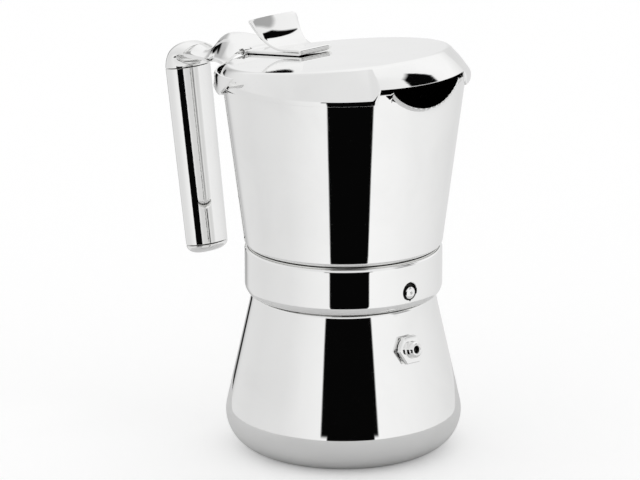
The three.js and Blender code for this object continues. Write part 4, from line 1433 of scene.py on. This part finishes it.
@dataclass
class Studio:
    """Camera, pale floor and soft surrounding light.

    Attributes:
        flags: Dark upright flags.
        screen: Greyer screen, and how much light it takes away.
        around: Brightness of the room round the horizon, as pairs of azimuth and tone.
        above: The same, overhead.
        change: Heights between which one goes over into the other.
    """

    target: Triple = (0.0, 0.0, 0.095)
    azimuth: float = -44.0
    elevation: float = 15.73
    distance: float = 2.098
    lens: float = 255.7
    shift: Point = (-0.0366, 0.0093)
    flags: tuple[Band, ...] = (
        Band(-37.0, 23.0, 1.5, (-0.97, -0.93), (0.28, 0.22)),
        Band(-38.0, 27.8, 2.0, (-0.12, 0.1), (0.28, 0.22)),
        Band(159.0, 4.5, 3.0, (-0.3, -0.2), (0.09, 0.03)),
        Band(62.0, 12.0, 3.0, (0.6, 0.63), (0.87, 0.84), smooth=False))
    screen: Band = Band(34.0, 13.0, 6.0, (0.1, 0.2), (0.62, 0.56), smooth=False)
    screen_depth: float = 0.55
    flag_tone: float = 0.002
    disc_radius: float = 0.16
    change: Point = (0.2, 0.45)
    around: tuple[Point, ...] = ((-180, 0.78), (-150, 0.76), (-108, 0.8), (-87, 0.87), (-65, 0.93), (-12, 0.98),
                                 (15, 0.95), (41, 0.9), (61, 0.87), (82, 0.82), (102, 0.77), (126, 0.76),
                                 (140, 0.9), (150, 0.5), (160, 0.5), (172, 0.76), (180, 0.78))
    above: tuple[Point, ...] = ((-180, 0.85), (-100, 0.8), (-20, 0.83), (40, 0.9), (90, 1.0), (140, 0.97),
                                (180, 0.85))

    def camera(self) -> None:
        """Makes the camera."""
        data = bpy.data.cameras.new("camera")
        data.lens, data.sensor_width = self.lens, 36.0
        data.shift_x, data.shift_y = self.shift
        data.clip_end = 20.0
        item = bpy.data.objects.new("camera", data)
        a, e = math.radians(self.azimuth), math.radians(self.elevation)
        away = Vector((math.cos(e) * math.cos(a), math.cos(e) * math.sin(a), math.sin(e)))
        item.location = Vector(self.target) + away * self.distance
        item.rotation_euler = (-away).to_track_quat("-Z", "Y").to_euler()
        bpy.context.scene.collection.objects.link(item)
        bpy.context.scene.camera = item

    def paper(self, name: str, tone: float, glow: float) -> bpy.types.Material:
        """Returns a matte paper material."""
        material, _, shader = blank(name)
        looks = {"Base Color": (tone, tone, tone, 1), "Roughness": 0.9, "Specular IOR Level": 0.0,
                 "Emission Color": (1, 1, 1, 1), "Emission Strength": glow}
        for socket, value in looks.items():
            shader.inputs[socket].default_value = value
        return material

    def sheet(self, name: str, radius: float, height: float, material: bpy.types.Material) -> bpy.types.Object:
        """Returns a round sheet of paper on the stage."""
        mesh = bpy.data.meshes.new(name)
        work = bmesh.new()
        bmesh.ops.create_circle(work, cap_ends=True, segments=96, radius=radius,
                                matrix=Matrix.Translation((0, 0, height)))
        work.to_mesh(mesh)
        work.free()
        mesh.materials.append(material)
        item = bpy.data.objects.new(name, mesh)
        bpy.context.scene.collection.objects.link(item)
        return item

    def floor(self) -> None:
        """Makes the pale floor, and the greyer disc under the pot that only the steel mirrors."""
        self.sheet("floor", 8.0, 0.0, self.paper("floor_paper", 0.9, 0.25)).visible_glossy = False
        disc = self.sheet("floor_disc", self.disc_radius, 0.00003, self.paper("disc_paper", 0.76, 0.0))
        disc.visible_camera = disc.visible_diffuse = disc.visible_shadow = False

    def band(self, tree: bpy.types.NodeTree, across: bpy.types.NodeSocket, height: bpy.types.NodeSocket,
             band: Band) -> bpy.types.NodeSocket:
        """Returns 1 inside an upright band of directions and 0 outside it.

        Args:
            tree: The world's tree.
            across: Direction with its height taken out, at unit length.
            height: Height of the direction.
            band: The band.

        Returns:
            The share of the band at that direction.
        """
        dot = node(tree, "ShaderNodeVectorMath", operation="DOT_PRODUCT")
        feed(tree, dot.inputs[0], across)
        dot.inputs[1].default_value = polar(1, band.azimuth, 0)
        low, high = (math.cos(math.radians(band.half + k * band.soft)) for k in (0.5, -0.5))
        sides = ramp(tree, dot.outputs["Value"], low, high, smooth=True)
        ends = (ramp(tree, height, *end, smooth=band.smooth) for end in (band.bottom, band.top))
        return maths(tree, "MULTIPLY", sides, maths(tree, "MULTIPLY", *ends))

    def tones(self, tree: bpy.types.NodeTree, share: bpy.types.NodeSocket,
              stops: Sequence[Point]) -> bpy.types.NodeSocket:
        """Returns the room's brightness round the horizon.

        Args:
            tree: The world's tree.
            share: Azimuth as a share of a turn, from 0 at -180 degrees.
            stops: Pairs of azimuth in degrees and brightness.

        Returns:
            The brightness at that azimuth.
        """
        scale = node(tree, "ShaderNodeValToRGB")
        feed(tree, scale.inputs[0], share)
        bar = scale.color_ramp.elements
        for i, (azimuth, tone) in enumerate(stops):
            place = (azimuth + 180.0) / 360.0
            stop = bar[0] if i == 0 else bar.new(place) if i < len(stops) - 1 else bar[len(bar) - 1]
            stop.position = place
            stop.color = (tone, tone, tone, 1.0)
        return scale.outputs[0]

    def light(self) -> None:
        """Makes the surrounding light, fixed in the world: a pale room with dark upright flags."""
        world = bpy.data.worlds.new("studio")
        bpy.context.scene.world = world
        world.use_nodes = True
        tree = world.node_tree
        tree.nodes.clear()
        way = node(tree, "ShaderNodeTexCoord").outputs["Generated"]
        apart = node(tree, "ShaderNodeSeparateXYZ")
        feed(tree, apart.inputs[0], way)
        height = apart.outputs[2]
        unit = node(tree, "ShaderNodeVectorMath", operation="NORMALIZE")
        feed(tree, unit.inputs[0], flattened(tree, way))
        across = unit.outputs[0]

        turn = maths(tree, "ARCTAN2", apart.outputs[1], apart.outputs[0])
        share = maths(tree, "ADD", maths(tree, "DIVIDE", turn, math.tau), 0.5)
        dark, *others = (self.band(tree, across, height, flag) for flag in self.flags)
        for flag in others:
            dark = maths(tree, "MAXIMUM", dark, flag)
        low, high = self.change
        room = maths(tree, "ADD", *(
            maths(tree, "MULTIPLY", self.tones(tree, share, stops), ramp(tree, height, start, end))
            for stops, start, end in ((self.around, high, low), (self.above, low, high))))
        screen = maths(tree, "MULTIPLY", self.band(tree, across, height, self.screen), self.screen_depth)
        room = maths(tree, "MULTIPLY", room, maths(tree, "SUBTRACT", 1.0, screen))
        shade = maths(tree, "ADD", maths(tree, "MULTIPLY", room, maths(tree, "SUBTRACT", 1.0, dark)),
                      maths(tree, "MULTIPLY", dark, self.flag_tone))
        view = maths(tree, "MAXIMUM", shade, node(tree, "ShaderNodeLightPath").outputs["Is Camera Ray"])
        together = node(tree, "ShaderNodeCombineColor")
        for socket in together.inputs[:3]:
            feed(tree, socket, view)
        background = node(tree, "ShaderNodeBackground")
        feed(tree, background.inputs["Color"], together.outputs[0])
        output = node(tree, "ShaderNodeOutputWorld")
        feed(tree, output.inputs["Surface"], background.outputs[0])

    def build(self) -> None:
        """Makes the whole studio, its camera first."""
        self.camera()
        self.floor()
        self.light()
        bpy.context.scene.view_settings.view_transform = "Standard"


def corners(bounds: Sequence[Sequence[float]]) -> list[list[float]]:
    """Returns a box's two corners as plain lists of numbers."""
    return [[float(c) for c in corner] for corner in bounds]


def main() -> None:
    """Builds the studio and every sub-assembly over the frame."""
    logging.basicConfig(level=logging.INFO, format="%(name)s %(message)s")
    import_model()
    Studio().build()
    shared: dict[str, bpy.types.Material] = {}
    boiler, valve, jug, lid = Boiler(shared), Valve(shared), Jug(shared), Lid(shared)
    boiler.build(valve)
    valve.build(boiler)
    Basket(shared).build()
    Seal(shared).build()
    Collar(shared).build()
    jug.build()
    lid.build(jug)
    Handle(shared).build(jug, lid)


if __name__ == "__main__":
    main()
